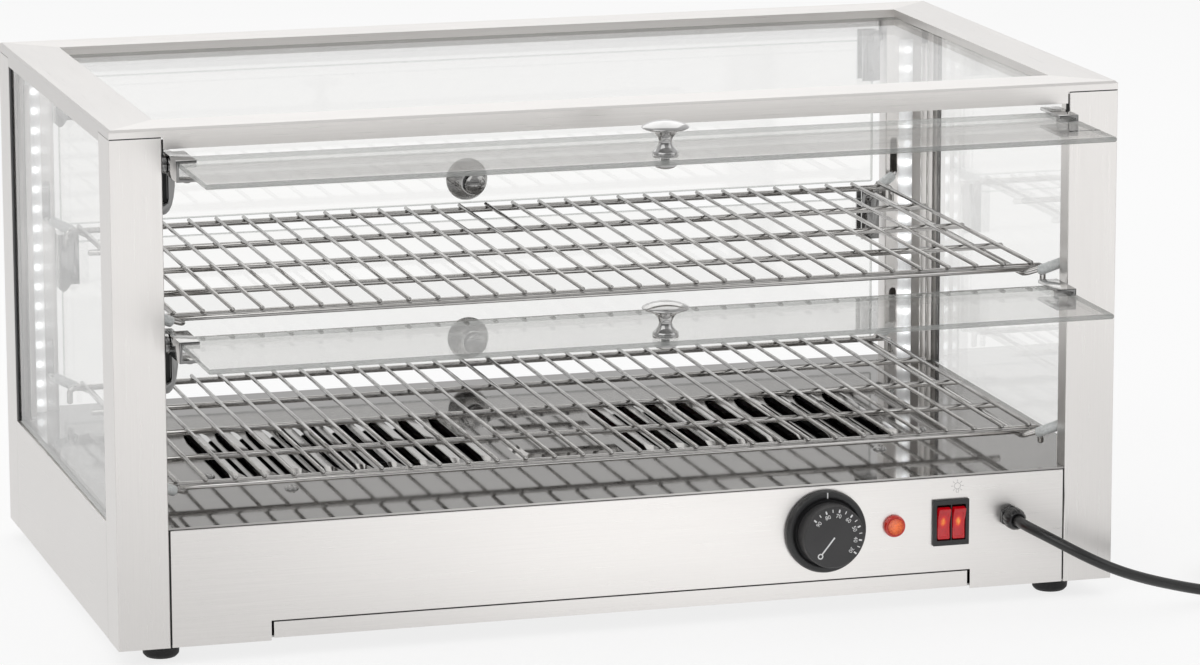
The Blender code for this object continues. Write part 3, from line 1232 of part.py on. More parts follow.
def main():
    clear_scene()
    brushed = material("brushed steel", (0.72, 0.71, 0.69), 0.34, 1.0)
    polished = material("polished steel", (0.55, 0.55, 0.55), 0.10, 1.0)
    chrome = material("chrome", (0.66, 0.66, 0.67), 0.12, 1.0)
    clear = material("clear glass", (0.86, 0.90, 0.88), 0.03, 0.0, 0.25)
    black = material("black plastic", (0.018, 0.018, 0.019), 0.42, 0.0)
    rubber = material("black rubber", (0.012, 0.012, 0.012), 0.62, 0.0)
    red = material("lit red plastic", (0.75, 0.04, 0.02), 0.22, 0.0)
    orange = material("lit orange plastic", (0.85, 0.16, 0.04), 0.20, 0.0)
    white = material("white plastic", (0.85, 0.86, 0.86), 0.45, 0.0)
    dark_metal = material("dark metal", (0.22, 0.22, 0.21), 0.45, 0.9)
    build_posts(brushed)
    build_cap(brushed, clear)
    build_sides(brushed, clear)
    build_control_panel(brushed)
    build_rear_panel(brushed)
    build_base_pan(brushed)
    build_floor(polished)
    build_racks(chrome)
    build_doors(clear, chrome)
    build_crumb_tray(brushed)
    build_thermostat(black, dark_metal)
    build_lamp(orange)
    build_switch(black, red)
    exit_point = build_gland(black)
    build_heaters(dark_metal)
    build_wiring(white, dark_metal)
    build_led_strips(white)
    build_feet(rubber)
    build_cord(exit_point, rubber)


main()
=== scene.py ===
"""Looks for the heated display cabinet: camera, cord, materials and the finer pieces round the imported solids."""

import math

import bmesh
import bpy
from mathutils import Matrix, Vector


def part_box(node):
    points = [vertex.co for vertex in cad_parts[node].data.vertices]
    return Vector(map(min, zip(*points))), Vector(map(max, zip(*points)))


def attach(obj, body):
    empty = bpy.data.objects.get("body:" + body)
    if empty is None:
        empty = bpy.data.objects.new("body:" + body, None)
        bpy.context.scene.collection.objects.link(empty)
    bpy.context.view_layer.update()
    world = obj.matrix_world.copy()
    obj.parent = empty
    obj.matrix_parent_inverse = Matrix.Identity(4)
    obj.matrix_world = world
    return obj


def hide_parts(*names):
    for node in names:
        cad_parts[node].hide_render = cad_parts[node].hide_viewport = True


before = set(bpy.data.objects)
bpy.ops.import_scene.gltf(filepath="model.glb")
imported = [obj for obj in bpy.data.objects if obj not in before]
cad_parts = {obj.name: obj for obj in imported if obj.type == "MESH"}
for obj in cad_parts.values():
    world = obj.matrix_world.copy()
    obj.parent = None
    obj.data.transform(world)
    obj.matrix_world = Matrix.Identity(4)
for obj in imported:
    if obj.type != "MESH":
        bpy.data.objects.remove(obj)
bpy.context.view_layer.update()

# Sizes and places that the solids use, in metres
MM = 0.001
MID_Y = 46.55 * MM
FRONT_Y = -181.45 * MM
HALF_WIDTH = 400 * MM
HALF_DEPTH = 228 * MM
FLOOR_TOP = 106.8 * MM
GAP = 0.3 * MM
X_AXIS = Vector((1, 0, 0))
Y_AXIS = Vector((0, 1, 0))
Z_AXIS = Vector((0, 0, 1))
OUT = -Y_AXIS
DOORS = ("upper_front_door", "lower_front_door", "upper_rear_door", "lower_rear_door")
SIDES = (("left", -1), ("right", 1))

# Places of the controls on the front panel
CONTROL_Z = 69 * MM
DIAL_X = 161 * MM
LAMP_X = 218 * MM
SWITCH_X = 264.7 * MM
ROCKER_STEP = 6.2 * MM
GLAND_CENTRE = Vector((314.5, -181.45, 70.5)) * MM

# Light strips: the number of diodes, the first one's height and the step between them
LED_COUNT = 17
LED_MARGIN = 8 * MM
LED_FIRST_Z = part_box("light_strip_left")[0].z + LED_MARGIN
LED_PITCH = (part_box("light_strip_left")[1].z - LED_MARGIN - LED_FIRST_Z) / (LED_COUNT - 1)


def sized(*points):
    """Points given in millimetres."""
    return [tuple(value * MM for value in point) for point in points]


def settle(thing, **settings):
    """Gives a new thing its settings."""
    for key, value in settings.items():
        setattr(thing, key, value)
    return thing


def linked(name, data):
    """A new object in the scene."""
    made = bpy.data.objects.new(name, data)
    bpy.context.scene.collection.objects.link(made)
    return made


# ---- camera

CAMERA_PLACE = Vector((-1.1974, -4.26235, 1.1104))
CAMERA_YAW = math.radians(16.08)
CAMERA_PITCH = math.radians(11.61)
CAMERA_ROLL = math.radians(-0.17)
CAMERA_LENS = 169.9


def make_camera():
    """The photo's camera, as solved from the cabinet's right angles."""
    data = bpy.data.cameras.new("photo_camera")
    made = linked("photo_camera", settle(data, lens=CAMERA_LENS, sensor_width=36, clip_end=60))
    yaw, pitch = CAMERA_YAW, CAMERA_PITCH
    ahead = Vector((math.sin(yaw) * math.cos(pitch), math.cos(yaw) * math.cos(pitch), -math.sin(pitch)))
    right = Vector((math.cos(yaw), -math.sin(yaw), 0))
    level = Matrix((right, right.cross(ahead), -ahead)).transposed().to_4x4()
    made.matrix_world = Matrix.Translation(CAMERA_PLACE) @ level @ Matrix.Rotation(CAMERA_ROLL, 4, "Z")
    bpy.context.scene.camera = made


make_camera()


# ---- mesh helpers

def put(name, data, look, replaces=(), body="cabinet"):
    """One finished piece: linked, given its material, and riding on its body."""
    made = linked(name, data)
    data.materials.append(LOOKS[look])
    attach(made, body)
    if replaces:
        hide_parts(*replaces)
    return made


def put_mesh(name, bm, look, slot=None, replaces=(), crease=40, body="cabinet"):
    """A finished piece from a bmesh: outward faces, smooth shading and sharp edges above an angle."""
    bmesh.ops.remove_doubles(bm, verts=bm.verts, dist=1e-6)
    bmesh.ops.recalc_face_normals(bm, faces=bm.faces)
    data = bpy.data.meshes.new(name)
    bm.to_mesh(data)
    bm.free()
    data.shade_smooth()
    data.set_sharp_from_angle(angle=math.radians(crease))
    return put(name, data, look, replaces, body)


def put_turned(name, shape, *piece):
    """A finished piece that is one turned shape."""
    bm = bmesh.new()
    add_lathe(bm, *shape)
    return put_mesh(name, bm, *piece)


def frame_of(axis):
    """An axis and two directions square to it."""
    axis = Vector(axis).normalized()
    aside = axis.cross(Z_AXIS if abs(axis.z) < 0.9 else X_AXIS).normalized()
    return axis, aside, axis.cross(aside)


def skin(bm, rings, closed=False):
    """Faces between neighbouring rings, of which a single point is a pole, and over both ends if not closed."""
    for first, second in zip(rings, rings[1:] + rings[:1] if closed else rings[1:]):
        count = max(len(first), len(second))
        for k in range(count):
            n = (k + 1) % count
            corners = (first[k % len(first)], first[n % len(first)], second[n % len(second)], second[k % len(second)])
            unique = list(dict.fromkeys(corners))
            if len(unique) > 2:
                bm.faces.new(unique)
    for ring in () if closed else (rings[0], rings[-1]):
        if len(ring) > 1:
            bm.faces.new(ring)


def circle(bm, centre, aside, other, count, reach):
    """A ring of points; reach(angle) gives each one's radius."""
    angles = [2 * math.pi * k / count for k in range(count)]
    return [bm.verts.new(centre + (aside * math.cos(angle) + other * math.sin(angle)) * reach(angle))
            for angle in angles]


def add_lathe(bm, profile, centre, axis, segments, wobble=None):
    """Turns (radius, height) points round an axis; wobble(angle, index) scales a ring's radius."""
    axis, aside, other = frame_of(axis)
    rings = []
    for index, (radius, height) in enumerate(profile):
        def reach(angle):
            return radius * (wobble(angle, index) if wobble else 1)

        rings.append(circle(bm, centre + axis * height, aside, other, segments if radius > 1e-7 else 1, reach))
    skin(bm, rings)


def bent(points, radius, steps=5):
    """Points with their inner corners turned into arcs."""
    points = [Vector(p) for p in points]
    out = [points[0]]
    for a, b, c in zip(points, points[1:], points[2:]):
        reach = min(radius, (a - b).length * 0.45, (c - b).length * 0.45)
        start, end = b + (a - b).normalized() * reach, b + (c - b).normalized() * reach
        for k in range(steps + 1):
            t = k / steps
            out.append(start * (1 - t) ** 2 + b * 2 * t * (1 - t) + end * t * t)
    out.append(points[-1])
    return out


def rounded(profile, radius):
    """The same open profile with its inner corners rounded."""
    return [(point.x, point.y) for point in bent([(*p, 0) for p in profile], radius, 3)]


def between(a, b, c, d, t):
    """Point on the smooth curve from b to c that a and d steer."""
    return 0.5 * (2 * b + (c - a) * t + (2 * a - 5 * b + 4 * c - d) * t * t + (3 * b - a - 3 * c + d) * t * t * t)


def add_tube(bm, points, radius, sides):
    """A round wire along points, with domed ends."""
    ways = [(b - a).normalized() for a, b in zip(points, points[1:])]
    aside = frame_of(ways[0])[1]
    last = len(points) - 1
    rings = []
    for index, point in enumerate(points):
        way = (ways[max(index - 1, 0)] + ways[min(index, last - 1)]).normalized()
        steps = {0: ((0, 0.55), (0.45, 1)), last: ((-0.45, 1), (0, 0.55))}.get(index, ((0, 1),))
        for along, share in steps:
            aside = (aside - way * aside.dot(way)).normalized()
            rings.append(circle(bm, point + way * radius * along, aside, way.cross(aside), sides,
                                lambda angle: radius * share))
    skin(bm, rings)


def add_strip(bm, sign, across, along, up, edge=0.0):
    """A box on the left (-1) or right (1): its inner and outer x and two z in mm, its two y in metres."""
    low, high = (Vector((pick(sign * x * MM for x in across), pick(along), pick(up) * MM)) for pick in (min, max))
    place = Matrix.Translation((low + high) / 2) @ Matrix.Diagonal((*(high - low), 1))
    made = bmesh.ops.create_cube(bm, size=1, matrix=place)
    if edge:
        edges = list({e for v in made["verts"] for e in v.link_edges})
        bmesh.ops.bevel(bm, geom=edges, offset=edge, segments=2, affect="EDGES", profile=0.5)


# ---- materials

class Look:
    """Shader nodes in the making, for a material or a world."""

    def __init__(self, name, kind="materials"):
        self.owner = getattr(bpy.data, kind).new(name)
        self.owner.use_nodes = True
        self.nodes = self.owner.node_tree.nodes
        self.links = self.owner.node_tree.links
        self.nodes.clear()
        self.coords = self.node("TexCoord").outputs
        self.place = self.coords["Object"]

    def node(self, kind, inputs=None, **settings):
        """A shader node with its settings and inputs."""
        made = settle(self.nodes.new("ShaderNode" + kind), **settings)
        for key, value in (inputs or {}).items():
            if isinstance(value, bpy.types.NodeSocket):
                self.links.new(value, made.inputs[key])
            else:
                made.inputs[key].default_value = value
        return made

    def add(self, kind, inputs=None, **settings):
        """First output of a new shader node."""
        return next(s for s in self.node(kind, inputs, **settings).outputs if s.enabled)

    def noise(self, stretch, detail=3, roughness=0.55):
        """Noise of so many grains a metre along each axis, or along all of them."""
        scale = stretch if isinstance(stretch, tuple) else (stretch,) * 3
        mapped = self.add("Mapping", {"Vector": self.place, "Scale": scale})
        return self.add("TexNoise", {"Vector": mapped, "Scale": 1, "Detail": detail, "Roughness": roughness})

    def math(self, operation, *values):
        """Result of a math node."""
        return self.add("Math", dict(enumerate(values)), operation=operation)

    def weigh(self, first, share, second, other_share):
        """Two values added by their shares."""
        return self.math("ADD", self.math("MULTIPLY", first, share), self.math("MULTIPLY", second, other_share))

    def parts(self, vector):
        """The x, y and z of a vector."""
        return self.node("SeparateXYZ", {0: vector}).outputs

    def far(self, centre, stretch=None):
        """Distance from a centre, with each axis stretched."""
        away = self.add("VectorMath", {0: self.place, 1: centre}, operation="SUBTRACT")
        if stretch:
            away = self.add("VectorMath", {0: away, 1: stretch}, operation="MULTIPLY")
        return self.node("VectorMath", {0: away}, operation="LENGTH").outputs["Value"]

    def slant(self):
        """How far the surface turns from the eye, 0 to 1."""
        return self.node("LayerWeight", {"Blend": 0.5}).outputs["Facing"]

    def span(self, value, low, high, start=0.3, end=0.7, curve="LINEAR"):
        """Maps start..end to low..high, held at the ends."""
        return self.add("MapRange", {0: value, 1: start, 2: end, 3: low, 4: high}, interpolation_type=curve)

    def ramp(self, value, *stops):
        """Colour ramp through (position, colour) stops."""
        made = self.node("ValToRGB", {0: value})
        band = made.color_ramp
        while len(band.elements) < len(stops):
            band.elements.new(0.5)
        for element, (position, colour) in zip(band.elements, stops):
            element.position = position
            element.color = (*colour, 1)
        return made.outputs[0]

    def blend(self, share, first, second):
        """Colour mix."""
        return self.add("MixRGB", {0: share, 1: first, 2: second})

    def either(self, share, first, second):
        """Shader mix."""
        return self.add("MixShader", {0: share, 1: first, 2: second})

    def bump(self, height, distance, strength=1.0):
        """Normal raised by a height."""
        return self.add("Bump", {"Height": height, "Distance": distance, "Strength": strength})

    def principled(self, **values):
        """Principled shader from names such as base_color or coat_weight."""
        return self.add("BsdfPrincipled", {key.replace("_", " ").title().replace("Ior", "IOR"): value
                                           for key, value in values.items()})

    def end(self, shader, kind="Material"):
        """Ends the tree with its output node."""
        self.node("Output" + kind, {"Surface": shader})
        return self.owner

    def finish(self, **values):
        """Ends the tree with a principled shader."""
        return self.end(self.principled(**values))


def tone(colour, factor):
    """A colour made lighter or darker."""
    return tuple(min(1.0, c * factor) for c in colour)


def brushed(name, colour, grain, rough=(0.26, 0.38), streak=0.05):
    """Ground sheet steel whose fine lines run along one axis: 0, 1 or 2; 3 follows a mitred frame, with painted shade
    on its side rims.
    """
    look = Look(name)

    def lines(along):
        fine, broad = [2300.0] * 3, [520.0] * 3
        fine[along], broad[along] = 22.0, 9.0
        return look.noise(tuple(fine), 2), look.noise(tuple(broad))

    if grain < 3:
        line, band = lines(grain)
    else:
        across = look.parts(look.place)
        side = look.math("SUBTRACT", HALF_WIDTH, look.math("ABSOLUTE", across[0]))
        back = look.math("SUBTRACT", HALF_DEPTH, look.math("ABSOLUTE", look.math("SUBTRACT", across[1], MID_Y)))
        on_side = look.math("LESS_THAN", side, back)
        line, band = (look.blend(on_side, *pair) for pair in zip(lines(0), lines(1)))
    mixed = look.weigh(line, 0.6, band, 0.4)
    shade = look.ramp(mixed, (0.32, tone(colour, 1 - streak)), (0.68, tone(colour, 1 + streak)))
    shade = look.blend(look.span(look.noise(5, 2), 0.0, 0.5), shade, (*tone(colour, 0.96), 1))
    # Painted shade: on the frame's side rims the colour is mixed 14% towards dark grey.
    if grain == 3:
        shade = look.blend(look.math("MULTIPLY", on_side, 0.14), shade, (0.2, 0.2, 0.2, 1))
    return look.finish(base_color=shade, metallic=1.0, roughness=look.span(mixed, *rough),
                       normal=look.bump(mixed, 0.05 * MM, 0.5))


def polished(name, colour, rough):
    """Bright rolled steel with faint rolling lines, smears and a slight waviness."""
    look = Look(name)
    smear = look.noise((9, 14, 9), 4, 0.6)
    roll = look.noise((700, 12, 700), 2)
    shade = look.ramp(smear, (0.35, tone(colour, 0.9)), (0.65, colour))
    rise = look.math("ADD", look.noise(5, 1), look.math("MULTIPLY", roll, 0.02))
    return look.finish(base_color=shade, metallic=1.0, normal=look.bump(rise, 0.06 * MM, 0.25),
                       roughness=look.span(look.weigh(smear, 0.7, roll, 0.3), *rough))


def chrome(name, colour, rough=(0.04, 0.14), cast=0.0, deep=1.0):
    """Plated metal: small changes of gloss, a cast skin's pitting, and painted shade where seen square on, standing
    in for dark reflections.
    """
    look = Look(name)
    smear = look.noise(120)
    shade = look.ramp(smear, (0.3, tone(colour, 0.88)), (0.7, colour))
    height = look.weigh(smear, 0.4, look.noise(1400, 2), 0.6)
    # Painted shade: faces seen square on are mixed towards the colour times deep, as a painted dark reflection.
    if deep < 1:
        shade = look.blend(look.span(look.slant(), 1.0, 0.0, 0.10, 0.75), shade, (*tone(colour, deep), 1))
    return look.finish(base_color=shade, metallic=1.0, roughness=look.span(smear, *rough),
                       normal=look.bump(height, (0.02 + cast) * MM, 0.4))


def pane(name, axis, edge_colour=(0.30, 0.31, 0.30), edge_clear=0.35):
    """Clear pane: transparent across its faces, mirror by angle, with a ground grey edge."""
    look = Look(name)
    facing = look.parts(look.coords["Normal"])[axis]
    edge = look.span(look.math("ABSOLUTE", facing), 1.0, 0.0, 0.80, 0.96)
    dust = look.noise(30, 4, 0.6)
    clear = look.add("BsdfTransparent", {"Color": (0.982, 0.981, 0.976, 1)})
    mirror = look.add("BsdfGlossy", {"Color": (1, 1, 1, 1), "Roughness": look.span(dust, 0.0, 0.012)})
    angle = look.math("MULTIPLY_ADD", look.math("POWER", look.slant(), 5.0), 0.92, 0.04)
    ground = look.noise(1500)
    rim = look.principled(base_color=look.ramp(ground, (0.3, tone(edge_colour, 0.85)), (0.7, edge_colour)),
                          roughness=look.span(ground, 0.12, 0.30), normal=look.bump(ground, 0.02 * MM, 0.4),
                          specular_ior_level=0.8)
    thin = look.add("BsdfTransparent", {"Color": (0.86, 0.87, 0.86, 1)})
    return look.end(look.either(edge, look.either(angle, clear, mirror), look.either(edge_clear, rim, thin)))


def plastic(name, colour, rough, grain, depth):
    """Moulded plastic or rubber with a fine spark-eroded grain and slight changes of gloss."""
    look = Look(name)
    skin_grain = look.noise(grain, 3, 0.6)
    shade = look.ramp(skin_grain, (0.3, tone(colour, 0.82)), (0.7, tone(colour, 1.12)))
    return look.finish(base_color=shade, roughness=look.span(look.noise(45), *rough),
                       normal=look.bump(skin_grain, depth * MM, 0.5))


def lit_rocker(name):
    """Deep red translucent plastic of both rockers, with a lamp glowing behind the middle of each."""
    look = Look(name)
    spots = []
    for x in (SWITCH_X - ROCKER_STEP, SWITCH_X + ROCKER_STEP):
        far = look.far((x - 0.9 * MM, FRONT_Y - 4 * MM, CONTROL_Z + 1.0 * MM), (1.0, 0.55, 0.62))
        spots.append(look.span(far, 1.0, 0.0, 0.4 * MM, 4.2 * MM, "SMOOTHSTEP"))
    haze = look.noise((420, 420, 260))
    glow = look.math("MULTIPLY", look.math("MAXIMUM", *spots), look.span(haze, 0.75, 1.1))
    colour = look.ramp(glow, (0.0, (0.30, 0.0, 0.004)), (0.40, (0.55, 0.008, 0.004)), (0.75, (0.95, 0.22, 0.01)),
                       (1.0, (1.0, 0.66, 0.10)))
    shade = look.ramp(haze, (0.3, (0.28, 0.001, 0.004)), (0.7, (0.42, 0.004, 0.008)))
    return look.finish(base_color=shade, roughness=look.span(haze, 0.10, 0.22), emission_color=colour,
                       emission_strength=0.60, normal=look.bump(haze, 0.03 * MM, 0.3),
                       coat_weight=0.4, coat_roughness=0.08)


def lit_lens(name, deep, bright, strength):
    """Orange lamp plastic: brighter in its middle, with a fine inner grain."""
    look = Look(name)
    far = look.far((LAMP_X, FRONT_Y - 4 * MM, CONTROL_Z))
    grain = look.noise(1100, 2)
    near = look.math("ADD", look.span(far, 0.85, 0.0, 0.5 * MM, 8.2 * MM), look.span(grain, -0.30, 0.25))
    colour = look.ramp(near, (0.0, deep), (0.6, tone(bright, 0.8)), (1.0, bright))
    return look.finish(base_color=colour, roughness=look.span(grain, 0.12, 0.26), emission_color=colour,
                       emission_strength=strength, coat_weight=0.5, coat_roughness=0.06,
                       normal=look.bump(grain, 0.03 * MM, 0.3))


def led_glow(name):
    """Lit diode: white with a faint cool haze."""
    look = Look(name)
    haze = look.noise(500, 2)
    colour = look.ramp(haze, (0.3, (0.86, 0.93, 1.0)), (0.7, (1.0, 1.0, 1.0)))
    return look.finish(base_color=(0.9, 0.9, 0.9, 1), roughness=look.span(haze, 0.2, 0.4),
                       emission_color=colour, emission_strength=1.5)


def strip_glow(name):
    """Milky cover of a light strip: brightest over each diode, dimmer between them."""
    look = Look(name)
    height = look.math("SUBTRACT", look.parts(look.place)[2], LED_FIRST_Z)
    turn = look.math("MULTIPLY", height, 2 * math.pi / LED_PITCH)
    wave = look.math("MULTIPLY_ADD", look.math("COSINE", turn), 0.5, 0.5)
    haze = look.noise((700, 700, 260))
    glow = look.math("MULTIPLY", look.math("POWER", wave, 1.6), look.span(haze, 0.85, 1.0))
    colour = look.ramp(glow, (0.0, (0.30, 0.305, 0.31)), (0.5, (0.55, 0.56, 0.57)), (0.9, (1.0, 1.0, 1.0)))
    shade = look.ramp(haze, (0.3, (0.70, 0.71, 0.71)), (0.7, (0.78, 0.78, 0.78)))
    return look.finish(base_color=shade, roughness=look.span(haze, 0.25, 0.4), emission_color=colour,
                       emission_strength=1.1, coat_weight=0.3, coat_roughness=0.1)


STEEL = (0.80, 0.779, 0.760)
LOOKS = {
    "steel_x": brushed("brushed_steel_lengthways", STEEL, 0),
    "steel_y": brushed("brushed_steel_sideways", STEEL, 1),
    "steel_z": brushed("brushed_steel_upright", STEEL, 2, streak=0.035),
    # The frame look carries painted shade on its side rims.
    "steel_cap": brushed("brushed_steel_frame", STEEL, 3),
    "steel_pan": brushed("plain_steel_underside", (0.56, 0.56, 0.555), 0, rough=(0.34, 0.5)),
    "floor": polished("polished_floor_steel", (0.40, 0.39, 0.38), (0.03, 0.09)),
    # The fitting and casting looks carry painted shade where seen square on, standing in for dark reflections.
    "chrome": chrome("chromed_fitting", (0.70, 0.695, 0.69), deep=0.45),
    "casting": chrome("chromed_casting", (0.66, 0.655, 0.65), (0.05, 0.15), cast=0.03, deep=0.3),
    "wire": chrome("chromed_wire", (0.50, 0.49, 0.48), (0.05, 0.14)),
    "pane_x": pane("clear_pane_side", 0),
    "pane_y": pane("clear_pane_upright", 1, (0.72, 0.73, 0.72), 0.7),
    "pane_z": pane("clear_pane_level", 2),
    "black": plastic("satin_black_plastic", (0.022, 0.022, 0.023), (0.34, 0.46), 1300, 0.02),
    "gland": plastic("gland_black_plastic", (0.012, 0.012, 0.013), (0.24, 0.34), 1100, 0.01),
    "dial": plastic("dial_black_plastic", (0.038, 0.037, 0.038), (0.46, 0.58), 1500, 0.02),
    "rubber": plastic("black_rubber", (0.016, 0.016, 0.017), (0.55, 0.75), 700, 0.04),
    "cord": plastic("cord_sheath_black", (0.012, 0.012, 0.012), (0.28, 0.38), 500, 0.01),
    # The black seal look also serves the painted seam shadows.
    "seal": plastic("black_seal_and_painted_shadow", (0.022, 0.022, 0.023), (0.5, 0.65), 600, 0.03),
    "white": plastic("white_plastic", (0.74, 0.75, 0.75), (0.35, 0.48), 900, 0.02),
    "sleeve": plastic("milky_sleeve_plastic", (0.66, 0.68, 0.68), (0.22, 0.34), 600, 0.02),
    "print": plastic("white_print", (0.80, 0.80, 0.80), (0.45, 0.6), 2500, 0.005),
    "grey_print": plastic("grey_print", (0.16, 0.16, 0.16), (0.45, 0.6), 2500, 0.005),
    "red": lit_rocker("lit_red_rocker"),
    "lens": lit_lens("lit_orange_lens", (0.40, 0.02, 0.006), (0.95, 0.20, 0.045), 0.32),
    "collar": lit_lens("orange_collar", (0.42, 0.012, 0.006), (0.72, 0.05, 0.01), 0.22),
    "led": led_glow("lit_diode"),
    "strip": strip_glow("lit_strip_cover"),
    "heater": chrome("heater_sheath", (0.26, 0.245, 0.225), (0.34, 0.5), cast=0.05),
    "zinc": chrome("zinc_plated_sheet", (0.50, 0.51, 0.50), (0.3, 0.45), cast=0.02),
    # Painted shade laid in the hinge pockets and over the screws' cross recesses.
    "dark": plastic("painted_recess_shade", (0.012, 0.012, 0.012), (0.5, 0.7), 900, 0.02),
}


# ---- cord, tie and plug

CORD_RADIUS = 4.25 * MM
CORD_WIDTH = 2 * CORD_RADIUS
CORD_SPACING = 9.2 * MM
COIL_TURNS = 2.48
COIL_INNER = 36.5 * MM
COIL_CENTRE = Vector((548, -170, 0)) * MM
COIL_START = -math.pi / 2
COIL_EASE = 0.10
COIL_POINTS_PER_TURN = 24
LEAD_POINTS = 34
CORD_EXIT = GLAND_CENTRE + OUT * 18.6 * MM
LEAD_ROUTE = [Vector(p) for p in sized(
    (316.3, -220.0, 69.8), (327.6, -242.2, 64.5), (348.7, -260.0, 53.5), (372.0, -262.0, 42.3), (400.0, -253.0, 30.8),
    (433.0, -240.5, 19.5), (460.0, -232.5, 11.8), (487.0, -229.5, 6.2), (514.0, -229.2, 4.25))]
PLUG_RADIUS = 18.5 * MM
PLUG_LIFT = 0.8 * MM
PLUG_NECK = 20 * MM
PLUG_BODY = 34 * MM
PLUG_RIBS = 7
TIE_ANGLE = math.radians(35)


def even_route(points, count):
    """Even points on the smooth curve through the chosen ones; the first and last only steer it."""
    fine = [between(*four, k / 24) for four in zip(points, points[1:], points[2:], points[3:]) for k in range(24)]
    fine.append(points[-2])
    lengths = [0.0]
    for first, second in zip(fine, fine[1:]):
        lengths.append(lengths[-1] + (second - first).length)
    out, index = [], 0
    for k in range(count):
        target = lengths[-1] * k / (count - 1)
        while index < len(fine) - 2 and lengths[index + 1] < target:
            index += 1
        t = (target - lengths[index]) / (lengths[index + 1] - lengths[index])
        out.append(fine[index].lerp(fine[index + 1], min(1.0, t)))
    return out


def coil_points():
    """Loops that spiral in on the table, climb where they reverse, and spiral out on top."""
    count = round(2 * COIL_TURNS * COIL_POINTS_PER_TURN)
    points = []
    for k in range(count + 1):
        phase = 2 * COIL_TURNS * k / count - COIL_TURNS
        angle = COIL_START + 2 * math.pi * (phase + COIL_TURNS)
        radius = COIL_INNER + CORD_SPACING * math.sqrt(phase * phase + COIL_EASE ** 2)
        climb = min(1.0, max(0.0, phase * 2 + 0.5))
        climb = climb * climb * (3 - 2 * climb)
        place = Vector((radius * math.cos(angle), radius * math.sin(angle), CORD_RADIUS + CORD_SPACING * climb))
        points.append(COIL_CENTRE + place)
    return points


def cord_route():
    """The whole cord's points from the gland to the plug, and the plug's direction."""
    coil = coil_points()
    into = (coil[1] - coil[0]).normalized()
    coil_start = coil[0] - into * CORD_WIDTH
    out = coil[-1] - coil[-2]
    out = Vector((out.x, out.y, 0)).normalized()
    rise = PLUG_RADIUS + PLUG_LIFT - coil[-1].z
    tail = [coil[-1] + out * CORD_WIDTH * along + Z_AXIS * rise * up
            for along, up in ((1.5, 0.25), (3.5, 0.8), (5.0, 1.0), (6.2, 1.0))]
    end = coil_start - into * GAP
    steer = [CORD_EXIT, CORD_EXIT - Y_AXIS * CORD_WIDTH, *LEAD_ROUTE, end - into * CORD_WIDTH, end]
    return [CORD_EXIT, *even_route(steer, LEAD_POINTS), end, coil_start, *coil, *tail], out


def build_plug(start, way):
    """Round two-pin plug: ribbed bend sleeve, gripped body, and two pins."""
    sleeve = [(0, 0)]
    for k in range(PLUG_RIBS):
        radius = CORD_RADIUS * 1.25 + (8.5 * MM - CORD_RADIUS * 1.25) * k / (PLUG_RIBS - 1)
        near, far, end = (PLUG_NECK * (k + share) / PLUG_RIBS for share in (0.05, 0.62, 1))
        sleeve += [(radius, near), (radius, far), (radius * 0.86, far + 0.1 * MM), (radius * 0.86, end)]
    face = PLUG_NECK + PLUG_BODY
    outline = [(8.0 * MM, PLUG_NECK), (13.3 * MM, PLUG_NECK), (PLUG_RADIUS, PLUG_NECK + PLUG_BODY * 0.30),
               (PLUG_RADIUS, PLUG_NECK + PLUG_BODY * 0.82), (16.5 * MM, face), (0, face)]
    plug = put_turned("mains_plug_body", (sleeve + rounded(outline, 1.6 * MM), start, way, 56),
                      "rubber", "black_plastic", ("mains_plug",), 35)
    aside = way.cross(Z_AXIS).normalized()
    pin = rounded(sized((2.4, 0), (2.4, 17.5), (1.4, 21), (0, 21)), 0.8 * MM)
    bm = bmesh.new()
    for side in (-1, 1):
        add_lathe(bm, pin, start + way * (face - 2 * MM) + aside * side * 9.5 * MM, way, 24)
    return plug, put_mesh("mains_plug_pins", bm, "chrome", "chrome_fittings")


def build_tie():
    """Strap round the coil's near side, where its turns lie side by side."""
    way = Vector((math.cos(TIE_ANGLE), math.sin(TIE_ANGLE), 0))
    across = Z_AXIS.cross(way)
    inner = COIL_INNER - CORD_RADIUS * 0.7
    outer = COIL_INNER + CORD_SPACING * COIL_TURNS + CORD_RADIUS * 1.6
    top = CORD_SPACING + CORD_WIDTH + 0.6 * MM
    half, thick = 4.5 * MM, 0.45 * MM
    loop = [Vector((u, z, 0)) for u, z in (
        (inner, 0.7 * MM), (outer, 0.7 * MM), (outer + 2 * MM, top * 0.45), (outer - 2 * MM, top * 0.95),
        ((inner + outer) / 2, top + 0.5 * MM), (inner + 3 * MM, top), (inner - 1.0 * MM, top * 0.5))]
    middle = Vector(((inner + outer) / 2, top / 2, 0))
    bm = bmesh.new()
    rings = []
    for four in zip(loop[-1:] + loop, loop, loop[1:] + loop[:1], loop[2:] + loop[:2]):
        for k in range(6):
            point = between(*four, k / 6)
            away = (point - middle).normalized() * thick
            ring = []
            for grow, side in ((-1, -half), (-1, half), (1, half), (1, -half)):
                spot = point + away * grow
                place = COIL_CENTRE + way * spot.x + Z_AXIS * max(0.1 * MM, spot.y) + across * side
                ring.append(bm.verts.new(place))
            rings.append(ring)
    skin(bm, rings, closed=True)
    return put_mesh("cord_tie", bm, "seal", "black_rubber", crease=50)


def build_cord():
    """Mains cord from the gland to the coil, with its tie and plug."""
    points, way = cord_route()
    data = settle(bpy.data.curves.new("mains_cord", "CURVE"), dimensions="3D", bevel_depth=CORD_RADIUS,
                  bevel_resolution=5, use_fill_caps=True)
    spline = data.splines.new("POLY")
    spline.points.add(len(points) - 1)
    for spot, point in zip(spline.points, points):
        spot.co = (*point, 1)
    spline.use_smooth = True
    cord = put("mains_cord", data, "cord", ("cord_lead", "cord_coil"))
    plug, pins = build_plug(points[-1] + way * GAP, way)
    tie = build_tie()


build_cord()


# ---- carried-over solids

